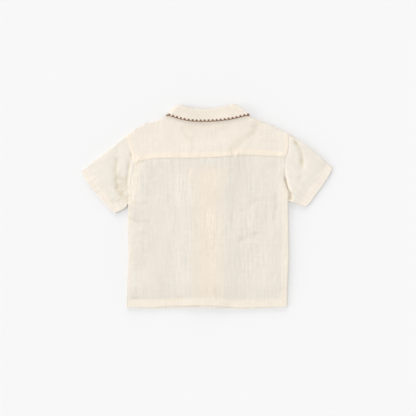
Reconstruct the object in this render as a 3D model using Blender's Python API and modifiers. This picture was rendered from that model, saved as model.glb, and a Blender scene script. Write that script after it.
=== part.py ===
"""A toddler's short-sleeve shirt, buttoned up and laid flat with its back upwards.

The tables are in millimetres. +X runs across the chest towards the wearer's right, +Y from the hem
to the collar, and +Z up from the surface that the shirt lies on. Each cloth piece is an open
surface, shaped from a grid between its cut edges, that a Solidify modifier makes into a wall.
The fronts lie face down, the back and yoke lie on them, each sleeve is a flattened tube, and the
collar is one folded band that runs from the front edge round the back of the neck.
"""

import math

import bmesh
import bpy
import numpy as np
from mathutils import Vector

MM = 0.001

# Cloth walls and the space between them
CLOTH = 1.0              # one layer: fronts, back and sleeves
FOLDED_CLOTH = 1.4       # where a hem or the front facing folds back on its own panel
YOKE_CLOTH = 1.2         # the yoke is cut double
COLLAR_CLOTH = 1.2
SEAM_GAP = 0.35          # between two cut edges that lie side by side
CURVED_SEAM_GAP = 0.85   # between two cut edges on a bend, where their facets differ
SEAM_HALF_GAP = 0.25     # above and below a seam that lies on the shirt's folded outline
PANEL_GAP = 0.4          # between panels that lie on each other
BACK_CLEARANCE = 0.7     # between the back and the thickest stack under it
LAID_HEIGHT = 4.2        # from the surface to the top of the back where only one front lies under it
YOKE_RISE = 0.3          # the doubled yoke over the back panel that is sewn into it

# Hems, front edges and buttons
HEM_DEPTH = 14.0
HEM_RISE = 0.3
CUFF_HEM_DEPTH = 12.0
CENTRE_FRONT = 2.8
OVERLAP = 14.0           # how far each front reaches past the centre front
FACING_WIDTH = 45.0      # the fold-back at each front edge
BUTTON_RADIUS = 5.25
BUTTON_THICKNESS = 1.8
BUTTON_HOLE_RADIUS = 0.7
BUTTON_HOLE_SPREAD = 1.25
BUTTON_LIFT = 2.1        # the stiff front edge rides this high on its buttons
TOP_BUTTON = 105.0
BUTTON_SPACING = 62.0
BUTTON_COUNT = 5

# The folded collar and its scalloped edging
COLLAR_TURN = 1.0        # radius of the fold at the collar's upper edge
COLLAR_LIFT = 2.1        # how high the fronts lie on the collar
NECK_CENTRE = (0.0, 200.0)
SCALLOP_PITCH = 7.45
STITCH_OUT = 1.95        # from the collar's cut edge to the middle of a knot of thread
LOOP_DROP = 1.65         # from there to the lowest point of a loop
KNOT_HALF_LENGTH = 1.15
KNOT_HALF_HEIGHT = 1.6
LOOP_HALF_WIDTH = 0.6
EDGING_THICKNESS = 1.0
EDGING_START = 6.5       # from each front end of the collar to the first knot

# Spacing of the grid lines
GRID_STEP = 15.0
FRONT_STEP = 12.5
BUTTON_STEPS = 16
RIM_RADIUS = 2.1
RIM_ANGLES = (0, 9, 45, 90)

LINEN = ((0.86, 0.80, 0.69, 1), 0.85)
LINEN_DOUBLE = ((0.90, 0.83, 0.71, 1), 0.85)
THREAD = ((0.20, 0.10, 0.045, 1), 0.7)
SHELL = ((0.80, 0.74, 0.62, 1), 0.35)

# Side seams from hem to underarm: x, y
SIDE_SEAMS = {
    "left": (
        (-149.6, -187.5), (-148.1, -138.0), (-145.9, -98.0), (-147.2, -44.0), (-147.4, 3.5),
    ),
    "right": (
        (149.0, -187.5), (150.2, -138.0), (152.2, -98.0), (151.7, -44.0), (150.9, 9.5),
    ),
}

# Armhole seams from underarm to shoulder tip: x, y
ARMHOLES = {
    "left": (
        (-147.4, 3.5), (-145.8, 28.0), (-141.8, 48.0), (-137.8, 64.0),
        (-136.6, 78.0), (-139.8, 94.0), (-145.4, 114.0), (-150.0, 131.0),
    ),
    "right": (
        (150.9, 9.5), (153.0, 21.0), (150.6, 32.0), (145.4, 50.0), (144.0, 63.0),
        (144.2, 77.0), (146.2, 91.0), (151.0, 103.0), (152.3, 116.0), (152.5, 135.3),
    ),
}

# Shoulder lines from shoulder tip to the side of the neck: x, y
SHOULDERS = {
    "left": (
        (-150.0, 131.0), (-132.0, 143.8), (-115.0, 152.6), (-102.0, 157.0),
        (-89.0, 161.3), (-75.0, 167.4), (-60.9, 174.8),
    ),
    "right": (
        (152.5, 135.3), (134.3, 143.1), (121.3, 149.6), (101.7, 157.6),
        (88.7, 163.4), (76.0, 168.6), (58.9, 176.3),
    ),
}

# Sleeve outlines on from the armhole: x, y
SLEEVE_TOPS = {
    "left": ((-167.5, 117.2), (-193.6, 96.3), (-217.2, 77.9), (-233.9, 64.6)),
    "right": ((159.3, 130.4), (173.6, 121.3), (206.2, 96.5), (234.0, 71.0)),
}
SLEEVE_UNDERARMS = {
    "left": ((-150.8, -2.0), (-156.0, -6.2), (-163.0, -9.6), (-170.5, -12.9)),
    "right": ((158.0, 7.4), (166.0, 5.0), (173.5, 2.6), (182.0, -0.9)),
}
CUFFS = {
    "left": (
        (-170.5, -12.9), (-177.2, -7.2), (-184.1, -0.9), (-200.8, 18.1),
        (-219.8, 40.6), (-233.9, 64.6),
    ),
    "right": (
        (182.0, -0.9), (188.0, 3.0), (195.8, 13.2), (205.3, 26.3),
        (223.0, 51.2), (234.0, 71.0),
    ),
}

# Seam between yoke and back, and the two hems: x, y
YOKE_SEAM = (
    (-136.6, 79.5), (-127.0, 82.5), (-109.0, 87.2), (-80.0, 89.0), (-32.0, 89.2),
    (10.0, 90.5), (43.0, 92.8), (80.0, 95.0), (112.0, 93.0), (146.2, 91.0),
)
BACK_HEM = (
    (-149.6, -187.5), (-104.0, -188.6), (-84.0, -186.2), (-41.0, -185.2), (-5.0, -184.6),
    (20.0, -185.4), (38.0, -187.6), (62.0, -189.4), (108.0, -187.4), (149.0, -187.5),
)
FRONT_HEM = (
    (-149.6, -187.5), (-104.0, -190.4), (-41.0, -188.7), (15.0, -188.7), (63.0, -190.8),
    (108.0, -189.6), (149.0, -187.5),
)

# The collar's sections from the centre of the back to the side of the neck, and on to the front
# edge. Each row is a line across the band: its seam to the neck, its fold and its outer edge.
# side -1 lies under the shirt, 0 is on its outline and 1 lies on the back.
# side, neck x, neck y, fold x, fold y, edge x, edge y
COLLAR_LEFT = (
    (-1, 1.0, 117.8, 1.0, 127.0, 0.6, 119.4),
    (-1, -7.0, 118.6, -6.0, 127.8, -18.0, 102.5),
    (-1, -16.5, 121.0, -13.0, 129.5, -32.0, 90.5),
    (-1, -26.0, 125.5, -21.0, 132.8, -41.5, 90.0),
    (-1, -36.5, 133.0, -31.0, 139.5, -49.5, 104.0),
    (-1, -46.5, 144.0, -41.5, 150.5, -58.5, 126.0),
    (-1, -54.0, 157.5, -50.0, 168.0, -66.5, 150.0),
    (-1, -58.8, 171.0, -55.3, 184.2, -70.6, 168.3),
    (0, -60.5, 175.2, -57.6, 187.8, -72.9, 172.2),
    (1, -56.5, 173.6, -53.2, 188.2, -68.6, 171.6),
    (1, -44.0, 170.0, -42.0, 185.6, -53.2, 167.0),
    (1, -24.0, 167.4, -27.0, 182.5, -30.6, 162.4),
)
COLLAR_CENTRE = ((1, -3.0, 166.7, -5.0, 181.2, -3.0, 161.6),)
COLLAR_RIGHT = (
    (1, 18.0, 167.3, 18.0, 182.9, 22.5, 162.9),
    (1, 37.0, 170.3, 36.5, 187.2, 48.5, 166.3),
    (1, 54.4, 175.2, 50.2, 190.4, 71.8, 171.7),
    (0, 58.5, 176.8, 54.8, 189.6, 75.8, 172.5),
    (-1, 56.8, 172.6, 52.6, 186.0, 73.6, 168.6),
    (-1, 53.0, 159.0, 49.0, 169.5, 69.5, 150.0),
    (-1, 47.0, 145.0, 42.5, 151.5, 62.0, 126.0),
    (-1, 39.5, 134.0, 34.5, 140.5, 53.5, 104.0),
    (-1, 30.0, 126.0, 25.5, 133.3, 46.0, 90.0),
    (-1, 21.5, 121.2, 18.0, 129.7, 37.0, 90.5),
    (-1, 12.5, 118.7, 11.5, 127.9, 23.5, 102.5),
    (-1, 4.6, 117.8, 4.6, 127.0, 5.0, 119.4),
)
COLLAR_SECTIONS = COLLAR_LEFT + COLLAR_CENTRE + COLLAR_RIGHT

TURN_ANGLES = (0, 45, 90, 135, 180)
LEAF_SHARES = (0.25, 0.5, 0.75, 1)

# One scallop of the edging: way along it, how far out its middle is, half its width
SCALLOP = (
    (-KNOT_HALF_LENGTH, 0.25, LOOP_HALF_WIDTH),
    (-KNOT_HALF_LENGTH / 2, 0.0, KNOT_HALF_HEIGHT),
    (KNOT_HALF_LENGTH / 2, 0.0, KNOT_HALF_HEIGHT),
    (KNOT_HALF_LENGTH, 0.25, LOOP_HALF_WIDTH),
    (0.37 * SCALLOP_PITCH, LOOP_DROP, LOOP_HALF_WIDTH),
    (0.63 * SCALLOP_PITCH, LOOP_DROP, LOOP_HALF_WIDTH),
)

# A button's turned profile from its back, which is up, over the rim to its dished face: shares of
# its radius and thickness
BUTTON_PROFILE = (
    (0.0, 1.0), (0.8, 1.0), (1.0, 0.6), (0.95, 0.12), (0.82, 0.0), (0.6, 0.3), (0.0, 0.3),
)

# Folds in the cloth that lies on top: x and y of both ends, width, rise
FOLDS = (
    (-167.5, 84, -166, 30, 5.5, -1.1),   # left sleeve, lengthwise
    (-157, 96, -156, 52, 6.0, 1.2),
    (-146, 74, -146, 34, 4.5, -0.9),
    (-158, 24, -153, 8, 5.5, -1.0),
    (-190, 30, -215, 66, 9.0, 0.6),
    (158, 129, 169, 111, 4.0, -1.2),     # right sleeve, down from the shoulder tip
    (169, 111, 180, 84, 5.0, -1.3),
    (170, 122, 198, 82, 6.5, 0.8),
    (147, 46, 155, 21, 4.0, -1.3),       # right armhole, tucked in at the underarm
    (190, 28, 214, 62, 9.0, 0.6),
    (92, 150, 58, 106, 9.0, -0.9),       # yoke, where it sinks into the front neck
    (-46, 141, -27, 120, 8.0, -0.8),
    (-26, 118, -26, 94, 6.0, -0.5),
    (-20, 150, 22, 150, 20.0, -0.6),
    (54, 106, 54, 90, 3.0, 0.7),         # puckers at the yoke seam
    (-126, 96, -129, 82, 3.5, 0.6),
    (-143, -26, -108, -28, 5.5, -0.8),   # back, below the left armhole
    (-143, -40, -118, -42, 8.0, 0.6),
    (-138, 6, -116, 4, 5.0, -0.5),
    (70, -6, 92, 10, 7.0, -0.5),         # back, right half
    (62, -60, 88, -52, 9.0, -0.7),
    (128, 22, 126, -26, 6.5, -0.7),
    (-112, -108, -92, -152, 11.0, 0.5),
    (96, -98, 112, -146, 10.0, 0.4),
)


def clear_scene():
    for obj in list(bpy.data.objects):
        bpy.data.objects.remove(obj)


def ease(t):
    """0 below 0, 1 above 1, and a smooth step between."""
    t = min(1.0, max(0.0, t))
    return t * t * (3 - 2 * t)


def plateau(distance, half_width, ramp):
    """1 within half_width and 0 past the ramp beyond it."""
    return ease(1 - (distance - half_width) / ramp)


def soft_max(a, b, softness=0.8):
    return (a + b + math.hypot(a - b, softness)) / 2


def spline(points):
    """A smooth curve through the points, as a function of 0 to 1 by chord length."""
    points = [Vector(p) for p in points]
    knots = [0.0]
    for a, b in zip(points, points[1:]):
        knots.append(knots[-1] + (b - a).length)
    last = len(points) - 1

    def slope(i):
        before, after = max(i - 1, 0), min(i + 1, last)
        return (points[after] - points[before]) / (knots[after] - knots[before])

    def at(t):
        s = min(1.0, max(0.0, t)) * knots[-1]
        i = max(k for k in range(last) if knots[k] <= s)
        span = knots[i + 1] - knots[i]
        f = (s - knots[i]) / span
        return (
            points[i] * (2 * f**3 - 3 * f**2 + 1)
            + slope(i) * (span * (f**3 - 2 * f**2 + f))
            + points[i + 1] * (3 * f**2 - 2 * f**3)
            + slope(i + 1) * (span * (f**3 - f**2))
        )

    return at


def sampled(curve, count):
    return [curve(i / count) for i in range(count + 1)]


def length_of(curve, count=24):
    points = sampled(curve, count)
    return sum((b - a).length for a, b in zip(points, points[1:]))


def joined(first, second):
    """Two curves end to end, as one function of 0 to 1 by length."""
    share = length_of(first) / (length_of(first) + length_of(second))
    return lambda t: first(t / share) if t <= share else second((t - share) / (1 - share))


def stretch(curve, start, end):
    """The part of a curve between two values of its own measure."""
    return lambda t: curve(start + (end - start) * t)


def where(curve, axis, value):
    """The measure at which a curve that rises along an axis (0 is x, 1 is y) reaches a value."""
    low, high = 0.0, 1.0
    for _ in range(30):
        middle = (low + high) / 2
        if curve(middle)[axis] < value:
            low = middle
        else:
            high = middle
    return low


def moved(curve, x=0.0, y=0.0):
    return lambda t: curve(t) + Vector((x, y))


def patch(left, right, bottom, top):
    """The plan point at u across and v up between four edge curves."""
    corners = (bottom(0), bottom(1), top(0), top(1))

    def at(u, v):
        up = bottom(u).lerp(top(u), v)
        across = left(v).lerp(right(v), u)
        low, high = corners[0].lerp(corners[1], u), corners[2].lerp(corners[3], u)
        return up + across - low.lerp(high, v)

    return at


def outset(point, gap):
    """A point moved away from the middle of the neck opening."""
    away = (point - Vector(NECK_CENTRE)).normalized()
    return point + away * gap


class Lines:
    """Polylines in plan, and the distance from a point to the nearest of them."""

    def __init__(self, lines):
        self.starts = np.array([tuple(a) for line in lines for a in line[:-1]])
        self.ways = np.array([tuple(b) for line in lines for b in line[1:]]) - self.starts
        self.squares = (self.ways**2).sum(axis=1)

    def distance(self, point):
        to_point = np.array(point[:2]) - self.starts
        shares = np.clip((to_point * self.ways).sum(axis=1) / self.squares, 0, 1)
        return float(np.hypot(*(to_point - self.ways * shares[:, None]).T).min())


def inside(point, outline):
    """Whether a plan point lies in a closed outline."""
    odd = False
    for a, b in zip(outline, outline[1:] + outline[:1]):
        if (a.y > point.y) != (b.y > point.y):
            crossing = a.x + (point.y - a.y) * (b.x - a.x) / (b.y - a.y)
            odd ^= crossing > point.x
    return odd


# Edge curves that two or more pieces share
side_seams = {side: spline(points) for side, points in SIDE_SEAMS.items()}
armholes = {side: spline(points) for side, points in ARMHOLES.items()}
shoulders = {side: spline(points) for side, points in SHOULDERS.items()}
sleeve_seams = {
    "left": moved(armholes["left"], x=-CURVED_SEAM_GAP),
    "right": moved(armholes["right"], x=CURVED_SEAM_GAP),
}
sleeve_tops = {
    side: spline([sleeve_seams[side](1), *points]) for side, points in SLEEVE_TOPS.items()
}
underarms = {
    side: spline([sleeve_seams[side](0), *points]) for side, points in SLEEVE_UNDERARMS.items()
}
yoke_seam = spline(YOKE_SEAM)

# The outline where the upper layers turn over into the lower ones
folded_outline = []
for wearer_side in ("left", "right"):
    side_and_underarm = sampled(side_seams[wearer_side], 90)
    side_and_underarm += sampled(underarms[wearer_side], 40)
    sleeve_and_shoulder = sampled(sleeve_tops[wearer_side], 60)[::-1]
    sleeve_and_shoulder += sampled(shoulders[wearer_side], 60)
    folded_outline += [side_and_underarm, sleeve_and_shoulder]
outline_lines = Lines(folded_outline)


def leaf_outlines():
    """The two halves of the collar that lie under the fronts, in plan."""
    outlines = []
    for half in (COLLAR_LEFT, COLLAR_RIGHT):
        under = [row for row in half if row[0] < 1]
        edge = [Vector(row[5:7]) for row in under]
        fold = [Vector(row[3:5]) for row in reversed(under)]
        outlines.append(edge + fold)
    return outlines


leaves = leaf_outlines()
leaf_lines = Lines([outline + outline[:1] for outline in leaves])


def leaf_distance(point):
    """How far a plan point is from the collar under the fronts, 0 on it."""
    if any(inside(point, outline) for outline in leaves):
        return 0.0
    return leaf_lines.distance(point)


def along_buttons(y):
    """1 over the buttons, and 0 at the hem below the last one."""
    lowest = TOP_BUTTON - BUTTON_SPACING * (BUTTON_COUNT - 1)
    return ease((y - lowest) / 34 + 1.35)


def front_under(point, side):
    """Height of a front's outer face over the surface."""
    off_centre = abs(point.x - CENTRE_FRONT)
    on_collar = COLLAR_LIFT * plateau(leaf_distance(point), 6, 15)
    on_buttons = BUTTON_LIFT * plateau(off_centre, OVERLAP + 6, 22) * along_buttons(point.y)
    height = max(on_collar, on_buttons)
    if side == "right":
        over_left = plateau(point.x, CENTRE_FRONT + OVERLAP + 8, 17)
        height += (FOLDED_CLOTH + PANEL_GAP) * over_left
    return height


fold_lines = [Lines([((x0, y0), (x1, y1))]) for x0, y0, x1, y1, width, height in FOLDS]


def fold_rise(point):
    rise = 0.0
    for line, (*ends, width, height) in zip(fold_lines, FOLDS):
        reach = line.distance(point) / width
        rise += height * math.exp(-reach * reach)
    return rise


def back_over(point):
    """Height of the outer face of what lies on top: back, yoke and the upper half of a sleeve."""
    off_centre = abs(point.x - CENTRE_FRONT)
    both_fronts = 2 * FOLDED_CLOTH + PANEL_GAP - CLOTH
    placket = (BUTTON_LIFT * along_buttons(point.y) + both_fronts) * plateau(off_centre, 32, 36)
    placket *= plateau(point.y, 122, 20)
    collar = COLLAR_LIFT * plateau(leaf_distance(point), 10, 26)
    stack = CLOTH + max(placket, collar) + BACK_CLEARANCE + YOKE_CLOTH
    ripple = 0.18 * math.sin(point.x / 19 + 1.0) * math.sin(point.y / 27)
    return soft_max(LAID_HEIGHT, stack) + fold_rise(point) + ripple


def turned(point, flat, other, gap):
    """Height of a face that turns over at the outline, between its own level and the other layer's."""
    middle, half = (flat + other) / 2, (flat - other) / 2
    reach = outline_lines.distance(point) / abs(half)
    if reach >= 1:
        return flat
    share = math.sqrt(1 - (1 - reach) ** 2)
    return middle + math.copysign(gap + (abs(half) - gap) * share, half)


def top_face(point, gap=SEAM_HALF_GAP, rise=0.0):
    return turned(point, back_over(point) + rise, front_under(point, "left"), gap)


def bottom_face(point, side, gap=SEAM_HALF_GAP):
    return turned(point, front_under(point, side), back_over(point), gap)


def material(name, finish):
    colour, roughness = finish
    made = bpy.data.materials.new(name)
    made.use_nodes = True
    shader = made.node_tree.nodes["Principled BSDF"]
    shader.inputs["Base Color"].default_value = colour
    shader.inputs["Roughness"].default_value = roughness
    return made


def rim_stops():
    return [RIM_RADIUS * (1 - math.cos(math.radians(angle))) for angle in RIM_ANGLES]


def stops(length, near_start=(0.0,), near_end=(0.0,), step=GRID_STEP):
    """Places of grid lines from 0 to 1, close together where an edge turns over or is hemmed."""
    start, end = max(near_start), length - max(near_end)
    count = max(1, round((end - start) / step))
    middle = [start + (end - start) * i / count for i in range(1, count)]
    places = [*near_start, *middle, *(length - place for place in reversed(near_end))]
    return [place / length for place in places]


def cloth(name, finish, us, vs, place, thickness, thin_share=1.0, face_down=False, offset=-1.0):
    """A wall of cloth on a grid whose lines are at us across and vs along.

    place gives the point in millimetres and how much of the full thickness is there, from 0 to 1.
    """
    grid = bmesh.new()
    bmesh.ops.create_grid(grid, x_segments=len(us) - 1, y_segments=len(vs) - 1, size=0.5)
    share = grid.verts.layers.deform.verify()
    for vert in grid.verts:
        u = us[round((vert.co.x + 0.5) * (len(us) - 1))]
        v = vs[round((vert.co.y + 0.5) * (len(vs) - 1))]
        point, full = place(u, v)
        vert.co = Vector(point) * MM
        vert[share][0] = full
    bmesh.ops.remove_doubles(grid, verts=grid.verts, dist=0.004 * MM)
    if face_down:
        bmesh.ops.reverse_faces(grid, faces=grid.faces)
    mesh = bpy.data.meshes.new(name)
    grid.to_mesh(mesh)
    grid.free()
    obj = bpy.data.objects.new(name, mesh)
    shirt.objects.link(obj)
    obj.vertex_groups.new(name="full thickness")
    mesh.materials.append(material(name, finish))
    mesh.shade_smooth()
    wall = obj.modifiers.new("wall", "SOLIDIFY")
    wall.thickness = thickness * MM
    wall.offset = offset
    wall.vertex_group = "full thickness"
    wall.thickness_vertex_group = thin_share
    return obj


def hem_share(distance, depth):
    """1 on the folded hem and 0 above its upper edge."""
    return ease((depth + 0.8 - distance) / 1.6)


def hem_stops(depth):
    return (0.0, depth / 2, depth - 0.8, depth + 0.8)


def make_back():
    ends = {side: where(armholes[side], 1, YOKE_SEAM[i][1]) for side, i in (("left", 0), ("right", -1))}
    edges = {
        side: joined(side_seams[side], stretch(armholes[side], 0, ends[side])) for side in ends
    }
    plan = patch(edges["left"], edges["right"], spline(BACK_HEM), yoke_seam)
    width, length = length_of(yoke_seam), length_of(edges["left"])

    def place(u, v):
        point = plan(u, v)
        hem = hem_share(v * length, HEM_DEPTH)
        return (point.x, point.y, top_face(point, rise=HEM_RISE * hem)), hem

    us = stops(width, rim_stops(), rim_stops())
    vs = stops(length, hem_stops(HEM_DEPTH))
    cloth("back_panel", LINEN, us, vs, place, FOLDED_CLOTH, CLOTH / FOLDED_CLOTH)


def back_neckline():
    rows = [row for row in COLLAR_SECTIONS if row[0] == 1]
    inner = [outset(Vector(row[1:3]), SEAM_GAP) for row in rows]
    return spline([shoulders["left"](1), *inner, shoulders["right"](1)])


def make_yoke():
    edges = {}
    for side, end in (("left", YOKE_SEAM[0]), ("right", YOKE_SEAM[-1])):
        start = where(armholes[side], 1, end[1] + SEAM_GAP)
        edges[side] = stretch(armholes[side], start, 1)
    shoulder_right = shoulders["right"]
    top = joined(
        joined(shoulders["left"], back_neckline()), lambda t: shoulder_right(1 - t)
    )
    plan = patch(edges["left"], edges["right"], moved(yoke_seam, y=SEAM_GAP), top)
    width, height = length_of(top), length_of(edges["left"])

    def place(u, v):
        point = plan(u, v)
        return (point.x, point.y, top_face(point, rise=YOKE_RISE)), 1.0

    us = stops(width, step=11.5)
    vs = stops(height * 1.3, (0.0, 4.0), rim_stops(), step=11.0)
    cloth("yoke", LINEN_DOUBLE, us, vs, place, YOKE_CLOTH)


def front_neckline(side):
    """From the side of the neck to the front edge, which laps past the centre front."""
    half = COLLAR_LEFT if side == "left" else COLLAR_RIGHT[::-1]
    rows = [row for row in half if row[0] == -1]
    inner = [outset(Vector(row[1:3]), CURVED_SEAM_GAP) for row in reversed(rows)]
    past_centre = OVERLAP if side == "left" else -OVERLAP
    edge = Vector((CENTRE_FRONT + past_centre, inner[-1].y + 0.4))
    return spline([shoulders[side](1), *inner, edge])


def make_front(side):
    sign = 1 if side == "left" else -1
    outer = joined(side_seams[side], armholes[side])
    edge_x = CENTRE_FRONT + sign * OVERLAP
    hem = spline(FRONT_HEM)
    at_edge = where(hem, 0, edge_x)
    bottom = stretch(hem, 0 if side == "left" else 1, at_edge)
    top = joined(shoulders[side], front_neckline(side))
    edge = spline([bottom(1), top(1)])
    plan = patch(outer, edge, bottom, top)
    width, length = length_of(bottom), length_of(outer)

    def place(u, v):
        point = plan(u, v)
        hemmed = hem_share(v * length, HEM_DEPTH)
        faced = plateau(abs(point.x - edge_x), FACING_WIDTH - 3, 4)
        return (point.x, point.y, bottom_face(point, side)), max(hemmed, faced)

    us = stops(width, rim_stops(), step=FRONT_STEP)
    vs = stops(length, hem_stops(HEM_DEPTH), rim_stops())
    cloth(
        f"front_{side}", LINEN, us, vs, place, FOLDED_CLOTH, CLOTH / FOLDED_CLOTH,
        face_down=side == "left",
    )


def make_sleeve(side):
    plan = patch(underarms[side], sleeve_tops[side], sleeve_seams[side], spline(CUFFS[side]))
    width, length = length_of(sleeve_seams[side]), length_of(sleeve_tops[side])
    across = stops(width, rim_stops(), rim_stops(), step=11.0)
    around = [w / 2 for w in across] + [1 - w / 2 for w in reversed(across[:-1])]

    def place(u, v):
        upper = u <= 0.5
        w = 2 * u if upper else 2 - 2 * u
        point = plan(w, v)
        hemmed = hem_share((1 - v) * length, CUFF_HEM_DEPTH)
        rise = HEM_RISE * hemmed
        on_outline = w in (0.0, 1.0)
        if on_outline:
            z = (back_over(point) + front_under(point, side)) / 2
        elif upper:
            z = top_face(point, 0.0, rise)
        else:
            z = bottom_face(point, side, 0.0)
        return (point.x, point.y, z), hemmed

    vs = stops(length, near_end=hem_stops(CUFF_HEM_DEPTH), step=12.0)
    cloth(
        f"sleeve_{side}", LINEN, around, vs, place, FOLDED_CLOTH, CLOTH / FOLDED_CLOTH,
        face_down=side == "right",
    )


def yoke_middle(point):
    return back_over(point) + YOKE_RISE - YOKE_CLOTH / 2


def collar_section(row, wearer_side):
    """Points in the middle of the collar's wall, from its neck seam over the fold to its edge."""
    side = row[0]
    neck, fold, edge = Vector(row[1:3]), Vector(row[3:5]), Vector(row[5:7])
    up = (fold - neck).normalized()
    out = Vector((-up.y, up.x)) if wearer_side == "left" else Vector((up.y, -up.x))
    to_leaf = Vector((0, 0, side)) if side else out.to_3d()
    turn = fold - up * (COLLAR_TURN + COLLAR_CLOTH / 2)

    def height(point, over, under):
        return yoke_middle(point) + over if side > 0 else under

    on_leaf = COLLAR_CLOTH / 2
    at_fold = on_leaf + 2 * COLLAR_TURN
    at_neck = front_under(neck, wearer_side) + CLOTH / 2
    centre = turn.to_3d()
    centre.z = height(turn, COLLAR_TURN, on_leaf + COLLAR_TURN)
    section = []
    for share in (0, 0.5):
        point = neck.lerp(turn - out * (COLLAR_TURN if side == 0 else 0), share)
        level = height(point, 0, at_neck + (at_fold - at_neck) * share)
        section.append(Vector((point.x, point.y, level)))
    for angle in TURN_ANGLES:
        bend = math.radians(angle)
        section.append(
            centre + (up.to_3d() * math.sin(bend) - to_leaf * math.cos(bend)) * COLLAR_TURN
        )
    start = section[-1].to_2d()
    for share in LEAF_SHARES:
        point = start.lerp(edge, share)
        section.append(Vector((point.x, point.y, height(point, 2 * COLLAR_TURN, on_leaf))))
    return section


def between(rows, i):
    """A row half way between row i and the next, on a smooth curve where its neighbours allow."""
    first, second = np.array(rows[i]), np.array(rows[i + 1])
    middle = (first + second) / 2
    if 0 < i < len(rows) - 2:
        before, after = np.array(rows[i - 1]), np.array(rows[i + 2])
        if before[0] == first[0] == second[0] == after[0]:
            middle = (9 * (first + second) - before - after) / 16
    middle[0] = first[0]
    return tuple(float(value) for value in middle)


def collar_sections():
    """Every section of the collar, from its left front edge to its right one."""
    rows, sections = COLLAR_SECTIONS, []
    for i, row in enumerate(rows):
        wearer_side = "left" if row[3] < CENTRE_FRONT else "right"
        if row[0] != 0:
            sections.append(collar_section(row, wearer_side))
            if i + 1 < len(rows) and rows[i + 1][0] == row[0]:
                middle = between(rows, i)
                half = "left" if middle[3] < CENTRE_FRONT else "right"
                sections.append(collar_section(middle, half))
            continue
        start = collar_section(rows[i - 1], wearer_side)
        rim = collar_section(row, wearer_side)
        end = collar_section(rows[i + 1], wearer_side)
        for angle in (-60, -30, 0, 30, 60):
            share, swing = math.cos(math.radians(angle)), math.sin(math.radians(angle))
            section = []
            for first, outer, last in zip(start, rim, end):
                point = (first if angle < 0 else last).lerp(outer, share)
                point.z = (first.z + last.z) / 2 + (last.z - first.z) / 2 * swing
                section.append(point)
            sections.append(section)
    return sections


def make_collar(sections):
    us = [i / (len(sections) - 1) for i in range(len(sections))]
    vs = [i / (len(sections[0]) - 1) for i in range(len(sections[0]))]

    def place(u, v):
        section = sections[round(u * (len(us) - 1))]
        return tuple(section[round(v * (len(vs) - 1))]), 1.0

    cloth("collar", LINEN_DOUBLE, us, vs, place, COLLAR_CLOTH, offset=0.0)


def made_object(name, mesh, finish, home):
    obj = bpy.data.objects.new(name, mesh)
    home.objects.link(obj)
    if finish:
        mesh.materials.append(material(name, finish))
    return obj


def make_edging(sections):
    """Knots of thread on the collar's edge, joined by loops, as one scalloped ribbon."""
    edge = [section[-1] for section in sections]
    inner = [section[-2] for section in sections]
    knots = [0.0]
    for a, b in zip(edge, edge[1:]):
        knots.append(knots[-1] + (b - a).length)
    run = knots[-1] - 2 * EDGING_START
    scallops = round(run / SCALLOP_PITCH)
    pitch = run / scallops
    places = []
    for i in range(scallops + 1):
        for past, out, half in SCALLOP:
            s = i * pitch + past * pitch / SCALLOP_PITCH
            if 0 <= s + KNOT_HALF_LENGTH and s - KNOT_HALF_LENGTH <= run:
                places.append((EDGING_START + s, out, half))

    def frame(s):
        i = max(k for k in range(len(knots) - 1) if knots[k] <= s)
        share = (s - knots[i]) / (knots[i + 1] - knots[i])
        point = edge[i].lerp(edge[i + 1], share)
        back = inner[i].lerp(inner[i + 1], share)
        before, after = max(i - 1, 0), min(i + 2, len(edge) - 1)
        first = (edge[i + 1] - edge[before]).normalized()
        second = (edge[after] - edge[i]).normalized()
        along = first.lerp(second, share).normalized()
        out = point - back
        out = (out - along * out.dot(along)).normalized()
        return point, out, along.cross(out)

    ribbon = bmesh.new()
    rings = []
    for s, out_by, half in places:
        point, out, through = frame(s)
        corners = []
        for reach, side in ((-half, -1), (half, -1), (half, 1), (-half, 1)):
            corner = point + out * (STITCH_OUT + out_by + reach)
            corner += through * (side * EDGING_THICKNESS / 2)
            corners.append(ribbon.verts.new(corner * MM))
        rings.append(corners)
    for a, b in zip(rings, rings[1:]):
        for i in range(4):
            ribbon.faces.new((a[i], a[(i + 1) % 4], b[(i + 1) % 4], b[i]))
    ribbon.faces.new(rings[0][::-1])
    ribbon.faces.new(rings[-1])
    bmesh.ops.recalc_face_normals(ribbon, faces=ribbon.faces)
    mesh = bpy.data.meshes.new("collar_edging")
    ribbon.to_mesh(mesh)
    ribbon.free()
    made_object("collar_edging", mesh, THREAD, shirt)


def button_centres():
    return [
        Vector((CENTRE_FRONT, TOP_BUTTON - BUTTON_SPACING * i, 0)) for i in range(BUTTON_COUNT)
    ]


def make_thread_holes():
    """One cutter for the four holes of every button."""
    holes = bmesh.new()
    for centre in button_centres():
        for x in (-BUTTON_HOLE_SPREAD, BUTTON_HOLE_SPREAD):
            for y in (-BUTTON_HOLE_SPREAD, BUTTON_HOLE_SPREAD):
                made = bmesh.ops.create_cone(
                    holes, cap_ends=True, segments=8, radius1=BUTTON_HOLE_RADIUS * MM,
                    radius2=BUTTON_HOLE_RADIUS * MM, depth=3 * BUTTON_THICKNESS * MM,
                )
                middle = centre + Vector((x, y, BUTTON_THICKNESS / 2))
                bmesh.ops.translate(holes, verts=made["verts"], vec=middle * MM)
    mesh = bpy.data.meshes.new("thread_holes")
    holes.to_mesh(mesh)
    holes.free()
    cutter = made_object("thread_holes", mesh, None, cutters)
    cutter.hide_render = True
    cutter.display_type = "WIRE"
    return cutter


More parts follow.
